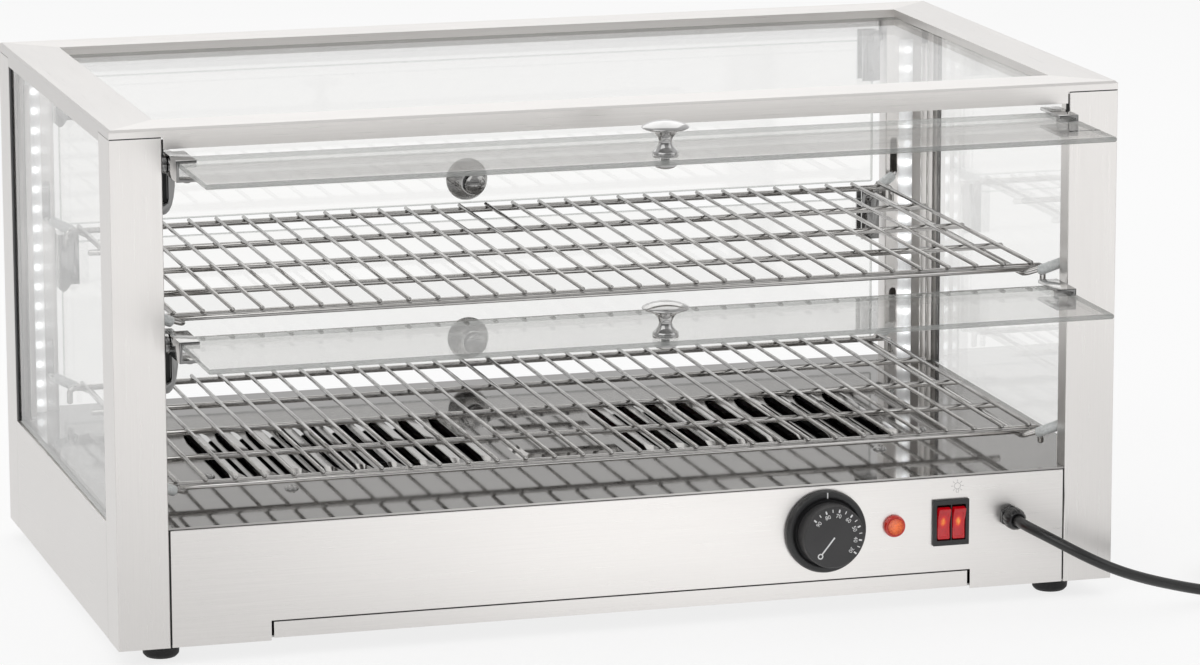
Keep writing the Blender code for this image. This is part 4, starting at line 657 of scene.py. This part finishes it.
def soften(node, look, crease=35, edge=0.0, flat_sheet=True):
    """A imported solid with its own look, joined corners, small rounded edges and smooth shading."""
    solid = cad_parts[node]
    solid.data.materials.clear()
    solid.data.materials.append(LOOKS[look])

    def modify(name, kind, **settings):
        settle(solid.modifiers.new(name, kind), **settings)

    modify("join", "WELD", merge_threshold=2e-6)
    if edge:
        modify("flats", "DECIMATE", decimate_type="DISSOLVE", angle_limit=math.radians(0.5))
        modify("edges", "BEVEL", width=edge, segments=2, limit_method="ANGLE", angle_limit=math.radians(40))
    modify("shading", "NODES", node_group=shading_group(crease))
    if edge and flat_sheet:
        modify("level_faces", "WEIGHTED_NORMAL", keep_sharp=True, weight=100)


def shading_group(crease):
    """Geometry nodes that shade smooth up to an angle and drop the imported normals."""
    name = "smooth_below_%d" % crease
    if name in bpy.data.node_groups:
        return bpy.data.node_groups[name]
    group = bpy.data.node_groups.new(name, "GeometryNodeTree")
    for way in ("INPUT", "OUTPUT"):
        group.interface.new_socket("Geometry", in_out=way, socket_type="NodeSocketGeometry")
    start, drop, faces, edges, angle, below, end = (group.nodes.new(kind) for kind in (
        "NodeGroupInput", "GeometryNodeRemoveAttribute", "GeometryNodeSetShadeSmooth", "GeometryNodeSetShadeSmooth",
        "GeometryNodeInputMeshEdgeAngle", "FunctionNodeCompare", "NodeGroupOutput"))
    drop.inputs["Name"].default_value = "custom_normal"
    settle(edges, domain="EDGE")
    settle(below, data_type="FLOAT", operation="LESS_THAN").inputs[1].default_value = math.radians(crease)
    for first, output, second, entry in (
            (start, 0, drop, 0), (drop, 0, faces, "Geometry"), (faces, 0, edges, "Geometry"),
            (angle, "Unsigned Angle", below, 0), (below, 0, edges, "Shade Smooth"), (edges, 0, end, 0)):
        group.links.new(first.outputs[output], second.inputs[entry])
    return group


def dress_solids():
    """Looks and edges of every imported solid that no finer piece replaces."""
    for side, _ in SIDES:
        for row in ("front", "rear"):
            soften("post_%s_%s" % (row, side), "steel_z", edge=0.5 * MM)
        soften("side_panel_" + side, "steel_y", edge=0.5 * MM)
        soften("side_glass_" + side, "pane_x")
        soften("heating_element_" + side, "heater", 60)
        soften("light_strip_" + side, "strip", 60)
    soften("top_cap", "steel_cap", edge=1.0 * MM)
    soften("top_glass", "pane_z")
    for panel in ("control_panel", "rear_panel"):
        soften(panel, "steel_x", edge=0.5 * MM)
    soften("crumb_tray", "steel_x")
    soften("base_pan", "steel_pan")
    soften("floor_plate", "floor", 12)
    for door in DOORS:
        soften(door + "_glass", "pane_z" if "front" in door else "pane_y")
        for fitting in ("_clamp_left", "_clamp_right", "_hinge"):
            soften(door + fitting, "casting", 40, 0.5 * MM, flat_sheet=False)
    soften("thermostat_body", "zinc", 40)
    soften("lamp_driver", "zinc", 40)
    soften("terminal_block", "white", 40)
    soften("switch_housing", "black", 40, 0.25 * MM)


dress_solids()


# ---- racks, in millimetres from each rack's middle

RACK_PLACES = (("upper_rack", 261 * MM), ("lower_rack", 130 * MM))
ROD, WIRE, RAIL, SLEEVE = 2.5 * MM, 1.6 * MM, 2.0 * MM, 4.2 * MM
ROD_END_X = 356
ROD_ENDS_Y = (-184, 184)
MIDDLE_RODS_Y = (-92, 0, 92)
WIRE_COUNT = 31
WIRE_FIRST_X = -345
WIRE_STEP = 23
WIRE_END_Y = 188.5
WIRE_LIFT = 3.5
RAIL_Y = 190
UNDER = -0.9
HOOK_X, HOOK_CORNER_X = 367, 338
SLEEVE_ENDS = ((365.0, 205.2, 6.2), (347.5, 195.3, -2.2))


def build_rack(body, height):
    """Wire rack: five rods, wires with rounded ends, side rods with hooks and milky sleeves, and end rails."""
    home = Vector((0, MID_Y, height))
    bm = bmesh.new()

    def tube(points, radius, sides):
        add_tube(bm, [home + p for p in bent(sized(*points), 5 * MM)], radius, sides)

    for y in ROD_ENDS_Y:
        tube([(-ROD_END_X, y, -13), (-ROD_END_X, y, 0), (ROD_END_X, y, 0), (ROD_END_X, y, -13)], ROD, 14)
    for y in MIDDLE_RODS_Y:
        tube([(-ROD_END_X, y, UNDER), (ROD_END_X, y, UNDER)], ROD, 14)
    for k in range(WIRE_COUNT):
        x = WIRE_FIRST_X + WIRE_STEP * k
        tube([(x, -WIRE_END_Y, WIRE_LIFT), (x, WIRE_END_Y, WIRE_LIFT)], WIRE, 10)
    for side in (-1, 1):
        slot, corner = side * HOOK_X, side * HOOK_CORNER_X
        tube([(slot, -213.5, 7), (slot, -206.5, 7), (corner, -190, -4.4), (corner, 190, -4.4), (slot, 206.5, 7),
              (slot, 213.5, 7)], ROD, 14)
        tube([(WIRE_FIRST_X, side * RAIL_Y, UNDER), (-WIRE_FIRST_X, side * RAIL_Y, UNDER)], RAIL, 12)
    put_mesh(body + "_wirework", bm, "wire", "chrome_fittings", (body,), 60, body)
    bm = bmesh.new()
    for side in (-1, 1):
        for end in (-1, 1):
            a, b = (home + Vector((side * x, end * y, z)) for x, y, z in sized(*SLEEVE_ENDS))
            add_tube(bm, [a, a.lerp(b, 0.5), b], SLEEVE, 20)
    put_mesh(body + "_sleeves", bm, "sleeve", "white_plastic", (), 50, body)


for rack_body, rack_height in RACK_PLACES:
    build_rack(rack_body, rack_height)


# ---- door knobs

KNOB_PROFILE = sized(
    (0, -9.3), (4.2, -8.7), (7.2, -7.6), (8.5, -6.6), (8.5, -4.6), (2.9, -4.6), (2.9, 0.3), (9.6, 0.3), (10.0, 0.8),
    (10.0, 1.9), (9.5, 2.3), (9.5, 2.7), (9.9, 3.1), (9.8, 3.9), (8.6, 4.9), (7.0, 6.6), (5.7, 8.6), (5.1, 10.6),
    (5.0, 12.0), (5.3, 13.4), (6.2, 15.4), (8.2, 17.6), (11.6, 19.6), (15.4, 21.0), (17.4, 21.8), (18.0, 22.5),
    (17.6, 23.2), (15.8, 24.3), (12.4, 25.7), (8.0, 26.9), (4.0, 27.4), (0, 27.5))


def build_knobs():
    """Turned knobs with their nuts, square to each door's pane."""
    for door in DOORS:
        low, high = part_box(door + "_knob")
        middle = (low + high) / 2
        axis = Z_AXIS if "front" in door else Y_AXIS
        foot = middle + axis * (high.dot(axis) - KNOB_PROFILE[-1][1] - middle.dot(axis))
        put_turned(door + "_turned_knob", (KNOB_PROFILE, foot, axis, 48),
                   "chrome", "chrome_fittings", (door + "_knob",), 50, door)


build_knobs()


# ---- controls

BEZEL_TOP = 6.8 * MM
BEZEL_PROFILE = rounded(sized((8, 0.3), (32.8, 0.3), (32.8, 3.875), (31.4, 6.8), (27.6, 6.8), (26.2, 5.5), (8, 5.5),
                              (8, 0.3)), 0.9 * MM)
DIAL_TOP = 24.6 * MM
DIAL_PROFILE = sized((0, 5.6), (6.8, 5.6), (6.8, 7.1), (24.2, 7.1), (24.8, 7.9), (24.8, 22.7), (24.45, 23.7),
                     (23.5, 24.5), (22.9, 24.6), (0, 24.6))
DIAL_FLUTES = 90
PRINT_DEPTH = 0.05 * MM
SCALE_FIRST = 138.0
SCALE_STEP = 29.3
SCALE_FIGURES = (90, 80, 70, 60, 50, 40, 30)
POINTER_ANGLE = 231.0
LAMP_PROFILE = rounded(sized((0, -20), (7.2, -20), (7.2, 0.3), (8.8, 0.3), (8.8, 2.2), (8.0, 4.2), (6.6, 4.4),
                             (6.3, 3.2), (0, 3.2)), 0.5 * MM)
LENS_PITCH = 1.15 * MM
LENS_REACH = 6.5 * MM
LENS_CELLS = 13
ROCKER_TILT = math.radians(9)
ROCKER_HALF_WIDTH = 4.9 * MM
ROCKER_DISH = 11.6


def add_figures(bm, words, size, matrix):
    """Adds generic figures in the built-in font, as raised print."""
    made = linked("figure", settle(bpy.data.curves.new("figure", "FONT"), body=words, size=size, align_x="CENTER",
                                   align_y="CENTER", extrude=PRINT_DEPTH, resolution_u=3))
    bpy.context.view_layer.update()
    graph = bpy.context.evaluated_depsgraph_get()
    shape = bpy.data.meshes.new_from_object(made.evaluated_get(graph))
    shape.transform(matrix)
    bm.from_mesh(shape)
    bpy.data.objects.remove(made)
    bpy.data.meshes.remove(shape)


def face_turn(angle, radius, out=DIAL_TOP):
    """Matrix that puts flat print round the dial's middle at an angle, its top outwards."""
    turn = Matrix((X_AXIS, Z_AXIS, OUT)).transposed().to_4x4()
    spin = Matrix.Rotation(math.radians(angle - 90), 4, "Z")
    shift = Matrix.Translation(Vector((DIAL_X, FRONT_Y - out, CONTROL_Z)))
    return shift @ turn @ spin @ Matrix.Translation(Vector((0, radius, 0)))


def add_plate(bm, matrix, width, height, depth=PRINT_DEPTH):
    """A thin printed bar."""
    bmesh.ops.create_cube(bm, size=1, matrix=matrix @ Matrix.Diagonal((width, height, 2 * depth, 1)))


def build_thermostat():
    """Round bezel with its mark, and the fluted dial with its printed scale."""
    centre = Vector((DIAL_X, FRONT_Y, CONTROL_Z))
    put_turned("bezel_ring", (BEZEL_PROFILE, centre, OUT, 96), "black", "black_plastic", ("dial_bezel",), 50)
    bm = bmesh.new()
    add_plate(bm, face_turn(90, 29.6 * MM, BEZEL_TOP), 1.0 * MM, 4.6 * MM, 0.06 * MM)
    put_mesh("bezel_mark", bm, "print")

    def flute(angle, index):
        return 1 - 0.011 * (0.5 + 0.5 * math.cos(DIAL_FLUTES * angle)) if index in (4, 5, 6) else 1

    put_turned("dial_knob", (DIAL_PROFILE, centre, OUT, DIAL_FLUTES * 4, flute),
               "dial", "black_plastic", ("thermostat_knob",), 50, "thermostat_dial")
    bm = bmesh.new()
    for k, figure in enumerate(SCALE_FIGURES):
        angle = SCALE_FIRST - SCALE_STEP * k
        add_plate(bm, face_turn(angle, 21.3 * MM), 1.25 * MM, 2.6 * MM)
        add_figures(bm, str(figure), 4.6 * MM, face_turn(angle, 17.2 * MM))
        if figure != SCALE_FIGURES[-1]:
            add_plate(bm, face_turn(angle - SCALE_STEP / 2, 21.4 * MM), 0.7 * MM, 2.4 * MM)
    add_plate(bm, face_turn(POINTER_ANGLE, 8.0 * MM), 1.2 * MM, 16.4 * MM)
    loop = sized((1.35, -0.05), (2.3, -0.05), (2.3, 0.05), (1.35, 0.05), (1.35, -0.05))
    add_lathe(bm, loop, face_turn(POINTER_ANGLE, 18.3 * MM).translation, OUT, 32)
    put_mesh("dial_scale", bm, "print", body="thermostat_dial")


def build_lamp():
    """Pilot lamp: a bezel collar and a lens face of small raised facets."""
    centre = Vector((LAMP_X, FRONT_Y, CONTROL_Z))
    put_turned("lamp_collar", (LAMP_PROFILE, centre, OUT, 56), "collar", "amber_lamp_plastic", ("pilot_lamp",), 50)
    bm = bmesh.new()
    half = (LENS_CELLS - 1) / 2
    points = {}

    def point(i, j, raised=0.0):
        if (i, j) not in points:
            u, v = (i / 2 - half) * LENS_PITCH, (j / 2 - half) * LENS_PITCH
            far = math.hypot(u, v)
            if far > LENS_REACH:
                u, v, far = u * LENS_REACH / far, v * LENS_REACH / far, LENS_REACH
            dome = 1.6 * MM * (1 - (far / (LENS_REACH * 1.25)) ** 2)
            spot = centre + X_AXIS * (u + v) * 0.7071 + Z_AXIS * (v - u) * 0.7071
            points[i, j] = bm.verts.new(spot + OUT * (4.0 * MM + dome + raised))
        return points[i, j]

    for i in range(0, 2 * LENS_CELLS, 2):
        for j in range(0, 2 * LENS_CELLS, 2):
            if math.hypot(i / 2 - half, j / 2 - half) * LENS_PITCH > LENS_REACH + LENS_PITCH * 0.5:
                continue
            peak = point(i, j, 0.36 * MM)
            ring = [point(i + di, j + dj) for di, dj in ((-1, -1), (1, -1), (1, 1), (-1, 1))]
            for first, second in zip(ring, ring[1:] + ring[:1]):
                bm.faces.new((first, second, peak))
    put_mesh("lamp_facets", bm, "lens", "amber_lamp_plastic", crease=12)


def build_rockers():
    """Lit rockers with a dished face, a raised field line and rounded ends."""
    half = ROCKER_HALF_WIDTH
    turn = Matrix.Rotation(ROCKER_TILT, 4, "X")

    def dish(z):
        return -5.1 + 1.5 * (1 - (z / ROCKER_DISH) ** 2)

    outline = [(4.0, -7.0), (0.0, -12.6), (-2.2, -12.75), (-4.9, -12.6), (-5.2, -12.1)]
    outline += [(dish(z), z) for z in (ROCKER_DISH * (-1 + 2 * (k + 0.5) / 9) for k in range(9))]
    outline += [(-5.2, 12.1), (-4.9, 12.6), (-2.2, 12.75), (0.0, 12.6), (4.0, 7.0)]
    corners = [Vector((u, 0, z)) for u, z in ((-3.3, -10.6), (-3.3, 8.6), (3.3, 8.6), (3.3, -10.6), (-3.3, -10.6))]
    for side, sign in SIDES:
        name = side + "_rocker"
        pivot = Vector((SWITCH_X + sign * ROCKER_STEP, FRONT_Y + 0.5 * MM, CONTROL_Z))
        bm = bmesh.new()
        rings = []
        for u, shrink in ((-half, 0.6), (-half + 0.45 * MM, 0.0), (half - 0.45 * MM, 0.0), (half, 0.6)):
            ring = []
            for y, z in outline:
                scale = (1 - shrink / math.hypot(y, z)) * MM
                ring.append(bm.verts.new(pivot + turn @ Vector((u, y * scale, z * scale))))
            rings.append(ring)
        skin(bm, rings)
        put_mesh(name + "_lit", bm, "red", "red_switch_plastic", ("rocker_" + side,), 30, name)
        bm = bmesh.new()
        spots = [first.lerp(second, k / 8) for first, second in zip(corners, corners[1:]) for k in range(8)]
        line = [pivot + turn @ (Vector((spot.x, dish(spot.z) + 0.05, spot.z)) * MM) for spot in spots + corners[:1]]
        add_tube(bm, line, 0.28 * MM, 6)
        put_mesh(name + "_field", bm, "red", "red_switch_plastic", (), 60, name)


def build_pictogram():
    """Small light symbol over the switch: a ring with rays and a stem, printed in fine grey dots."""
    bm = bmesh.new()
    centre = Vector((SWITCH_X + 5.7 * MM, FRONT_Y - 0.03 * MM, CONTROL_Z + 28.6 * MM))

    def dot(u, v, radius=0.30):
        spot = centre + (X_AXIS * u + Z_AXIS * v) * 1.15 * MM
        add_lathe(bm, sized((0, 0), (radius, 0), (radius, 0.03), (0, 0.03)), spot, OUT, 8)

    for k in range(16):
        angle = 2 * math.pi * k / 16
        dot(2.2 * math.cos(angle), 2.2 * math.sin(angle))
    for k in (0, 1, 2, 3, 4, 5, 7):
        angle = 2 * math.pi * k / 8
        for reach in (3.3, 4.1):
            dot(reach * math.cos(angle), reach * math.sin(angle), 0.28)
    for u, v in ((-0.9, -2.9), (0.9, -2.9), (-0.9, -3.7), (0.9, -3.7), (-0.5, -4.5), (0.5, -4.5)):
        dot(u, v)
    put_mesh("lamp_symbol", bm, "grey_print")


def build_gland():
    """Cable gland: chamfered hexagon, neck, ribbed cap, and the tapered mouth round the cord."""
    bm = bmesh.new()

    def hexagon(angle, index):
        part = (angle + math.pi / 6) % (math.pi / 3) - math.pi / 6
        return math.cos(math.pi / 6) / math.cos(part) if index in (1, 2, 3, 4, 7, 8, 9, 10) else 1

    def ribs(angle, index):
        return 1 - 0.05 * max(0.0, math.cos(12 * angle)) ** 2 if 4 <= index <= 12 else 1

    nut = sized((0, -6.8), (8.7, -6.8), (9.4, -6.2), (9.4, -2.4), (8.7, -1.8), (7.4, -1.8), (7.4, 0.3), (8.7, 0.3),
                (9.4, 0.9), (9.4, 4.1), (8.7, 4.8), (7.6, 4.8), (7.6, 6.8), (0, 6.8))
    cap = sized((0, 6.8), (8.7, 6.8), (8.7, 12.6), (8.1, 15.1), (6.8, 17.2), (6.2, 18.3), (5.0, 18.3), (4.6, 17.2))
    add_lathe(bm, nut, GLAND_CENTRE, OUT, 72, hexagon)
    add_lathe(bm, rounded(cap, 0.6 * MM), GLAND_CENTRE, OUT, 96, ribs)
    put_mesh("gland_body", bm, "gland", "black_plastic", ("cable_gland",), 28)


build_thermostat()
build_lamp()
build_rockers()
build_pictogram()
build_gland()


# ---- lights, seals, screws, feet

HINGE_HEIGHTS = (385 * MM, 248 * MM)
POCKET_X = -355.1 * MM
POCKET_DROP = 20.25 * MM
POCKET_DEPTH = 0.35 * MM
POCKET_FLOORS = ((-160.4 * MM, 1), (253.5 * MM, -1))


def build_leds():
    """Row of lit diodes on the face of each light strip."""
    for side, sign in SIDES:
        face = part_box("light_strip_" + side)[0].y - 0.15 * MM
        bm = bmesh.new()
        for k in range(LED_COUNT):
            add_lathe(bm, sized((0, 0), (3.0, 0), (2.5, 0.5), (0, 0.8)),
                      Vector((sign * 377 * MM, face, LED_FIRST_Z + k * LED_PITCH)), OUT, 20)
        put_mesh("diodes_" + side, bm, "led", "white_plastic", crease=60)


def build_seals():
    """Black seals down the side panes: a lip outside at the rear posts, a thin bead inside at the front ones."""
    for side, sign in SIDES:
        bm = bmesh.new()
        for across, start, end in (((398.3, 399.5), 180.2, 187.8), ((393.2, 394.0), -188.0, -191.0)):
            add_strip(bm, sign, across, (MID_Y + start * MM, MID_Y + end * MM), (106, 404), 0.3 * MM)
        put_mesh("pane_seals_" + side, bm, "seal", "black_rubber")


def build_trims():
    """Two narrow upright steel lips between each light strip and its side pane."""
    bm = bmesh.new()
    along = (MID_Y + 184.5 * MM, MID_Y + 187.5 * MM)
    for sign in (-1, 1):
        for across, up in (((383.3, 388.0), (108, 383)), ((389.3, 393.4), (108, 403))):
            add_strip(bm, sign, across, along, up, 0.4 * MM)
    put_mesh("strip_trims", bm, "steel_z", "brushed_steel_sheet")


def build_hinge_pockets():
    """Painted shade: a dark plate at the bottom of the oval pocket in each brake hinge."""
    bm = bmesh.new()
    half, reach = 2.9 * MM, 8.6 * MM
    for height in HINGE_HEIGHTS:
        for floor_y, into in POCKET_FLOORS:
            rings = []
            for y in (floor_y, floor_y - into * POCKET_DEPTH):
                ring = []
                for k in range(18):
                    angle = math.pi * (k + 0.5) / 9
                    rise = (reach if k < 9 else -reach) + half * math.sin(angle)
                    ring.append(bm.verts.new((POCKET_X + half * math.cos(angle), y, height - POCKET_DROP + rise)))
                rings.append(ring)
            skin(bm, rings)
    put_mesh("hinge_pocket_shades", bm, "dark", "black_plastic")


def build_seams():
    """Painted shadow: black strips behind the slits beside the panels and over the tray, and black lines along the
    cap's joint, where these gaps lie in shade.
    """
    bm = bmesh.new()
    # Painted shadow behind the slits beside the front and rear panels.
    for sign in (-1, 1):
        for face, into in ((FRONT_Y, 1), (MID_Y + HALF_DEPTH, -1)):
            for across, up in (((358.2, 361.0), (15.5, 104.5)), ((358.2, 360.4), (382.0, 404.0))):
                add_strip(bm, sign, across, (face + into * 1.9 * MM, face + into * 3.4 * MM), up)
        # Painted shadow: a black line along the cap's joint over each post, standing just proud of the front.
        add_strip(bm, sign, (360.2, 399.6), (FRONT_Y - 0.05 * MM, FRONT_Y + 1.5 * MM), (405.4, 406.3))
    # Painted shadow behind the slit over the crumb tray.
    add_strip(bm, 1, (-280.5, 280.5), (FRONT_Y + 1.8 * MM, FRONT_Y + 2.6 * MM), (28.6, 31.5))
    put_mesh("painted_seam_shadows", bm, "seal", "black_rubber")


def cross_head(heads, marks, centre, axis, radius, rise):
    """Domed screw head, with a dark cross of painted shade for its recess, in a second mesh."""
    axis, aside, other = frame_of(axis)
    dome = [(radius * math.cos(math.pi * k / 12), rise * math.sin(math.pi * k / 12)) for k in range(6)]
    add_lathe(heads, [(radius, -0.3 * MM), *dome, (0, rise)], centre, axis, 28)
    end, half = 0.52, 0.10
    low = rise * math.sqrt(1 - end * end - half * half) + 0.05 * MM
    for first, second in ((aside, other), (other, aside)):
        top = [marks.verts.new(centre + first * u * radius + second * v * radius + axis * low)
               for u, v in ((-end, -half), (end, -half), (end, half), (-end, half))]
        crown = [marks.verts.new(centre + second * v * radius + axis * (rise + 0.06 * MM)) for v in (-half, half)]
        marks.faces.new((top[0], crown[0], crown[1], top[3]))
        marks.faces.new((crown[0], top[1], top[2], crown[1]))


def build_screws():
    """Dome screws of the floor plate and the rear panel, their cross recesses in painted shade."""
    heads, marks = bmesh.new(), bmesh.new()
    for far, ahead in ((241, -125), (295, -68)):
        for side in (-1, 1):
            centre = Vector((side * far * MM, MID_Y + ahead * MM, FLOOR_TOP))
            cross_head(heads, marks, centre, Z_AXIS, 5.5 * MM, 3.0 * MM)
    for x in (-300, -100, 100, 300):
        cross_head(heads, marks, Vector((x * MM, MID_Y + HALF_DEPTH, 60 * MM)), Y_AXIS, 3.6 * MM, 1.6 * MM)
    put_mesh("screw_heads", heads, "chrome", "chrome_fittings", crease=50)
    recesses = put_mesh("screw_recess_shades", marks, "dark")
    settle(recesses.modifiers.new("depth", "SOLIDIFY"), thickness=0.1 * MM)


def build_feet():
    """Rubber feet with a hollow underneath and a stud up into the pan."""
    pad = rounded(sized((3.6, 0), (11.4, 0), (13.9, 2.6), (14.2, 7), (14.5, 7.6), (14.5, 13.7), (5, 13.7)), 0.9 * MM)
    for row in ("front", "rear"):
        for side, _ in SIDES:
            node = "foot_%s_%s" % (row, side)
            low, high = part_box(node)
            profile = sized((0, 1.2), (3.2, 1.2), (3.6, 0)) + pad + [(5 * MM, high.z), (0, high.z)]
            centre = Vector(((low.x + high.x) / 2, (low.y + high.y) / 2, 0))
            put_turned(node + "_pad", (profile, centre, Z_AXIS, 48), "rubber", "black_rubber", (node,), 45)


build_leds()
build_seals()
build_trims()
build_hinge_pockets()
build_seams()
build_screws()
build_feet()


# ---- floor, world and lamps

# What the metal mirrors: (ramp position by height, grey), for the room in front and for the wall behind
ROOM_GREYS = ((0.0, 0.7), (0.50, 0.30), (0.60, 0.26), (0.68, 0.45), (0.80, 0.70), (1.0, 0.75))
BEHIND_GREYS = ((0.0, 0.9), (0.50, 0.92), (0.583, 0.90), (0.600, 0.66), (0.66, 0.60), (0.80, 0.70))
POOL_CENTRE = (0.12, -0.55, 0.0)
POOL_BASE = 0.84
MIRRORED_SHARE = 0.78
LAMPS = (("key_left", (-2.2, -1.6, 2.6), (0, 0, 0.2), 3.0, 38),
         ("fill_right", (2.6, -1.8, 1.6), (0, 0, 0.2), 2.4, 16),
         ("back_top", (0.2, 2.2, 2.4), (0, 0, 0.3), 3.0, 22))


def build_floor():
    """White studio floor that keeps the shadow; the metal mirrors a paler pool of it in front."""
    look = Look("studio_floor")
    white = look.ramp(look.noise(3, 2), (0.3, (0.86, 0.86, 0.86)), (0.7, (0.88, 0.88, 0.88)))
    path = look.node("LightPath").outputs
    seen = look.math("MAXIMUM", path["Is Camera Ray"], path["Is Transmission Ray"])
    near = look.span(look.far(POOL_CENTRE), 0.72, 0.0, 0.05, 0.50, "SMOOTHSTEP")
    wide = look.span(look.parts(look.place)[1], 0.0, 0.52, -0.8, -1.3, "SMOOTHSTEP")
    pool = look.math("ADD", look.math("ADD", near, wide), POOL_BASE)
    power = look.math("ADD", look.math("MULTIPLY", seen, look.math("SUBTRACT", 1.0, pool)), pool)
    shown = look.math("MULTIPLY", look.math("MAXIMUM", seen, path["Is Glossy Ray"]), MIRRORED_SHARE)
    matt = look.add("BsdfDiffuse", {"Color": white})
    bright = look.add("Emission", {"Color": (1, 1, 1, 1), "Strength": power})
    bm = bmesh.new()
    bmesh.ops.create_grid(bm, x_segments=8, y_segments=8, size=30)
    data = bpy.data.meshes.new("studio_floor")
    bm.to_mesh(data)
    bm.free()
    data.materials.append(look.end(look.either(shown, matt, bright)))
    linked("studio_floor", data)


def build_world():
    """White behind the cabinet where the eye sees it, and grey steps where the metal mirrors it."""
    look = Look("studio", "worlds")
    bpy.context.scene.world = look.owner
    way = look.parts(look.coords["Generated"])
    height = look.span(way[2], 0.0, 1.0, -1.0, 1.0)
    behind = look.span(way[1], 0.0, 1.0, -0.1, 0.35, "SMOOTHSTEP")
    tint = look.blend(behind, *(look.ramp(height, *((place, (grey,) * 3) for place, grey in greys))
                                for greys in (ROOM_GREYS, BEHIND_GREYS)))
    path = look.node("LightPath").outputs
    seen = look.math("MAXIMUM", path["Is Camera Ray"], path["Is Transmission Ray"])
    room = look.add("Background", {"Color": tint, "Strength": 1.0})
    white = look.add("Background", {"Color": (1, 1, 1, 1), "Strength": 1.0})
    look.end(look.either(seen, room, white), "World")


def build_lamps():
    """Three soft square lamps."""
    for name, place, aim, size, power in LAMPS:
        lamp = linked(name, settle(bpy.data.lights.new(name, "AREA"), shape="SQUARE", size=size, energy=power))
        settle(lamp, location=place, rotation_mode="QUATERNION",
               rotation_quaternion=(Vector(aim) - Vector(place)).to_track_quat("-Z", "Y"))


build_floor()
build_world()
build_lamps()
bpy.context.scene.view_settings.view_transform = "Standard"
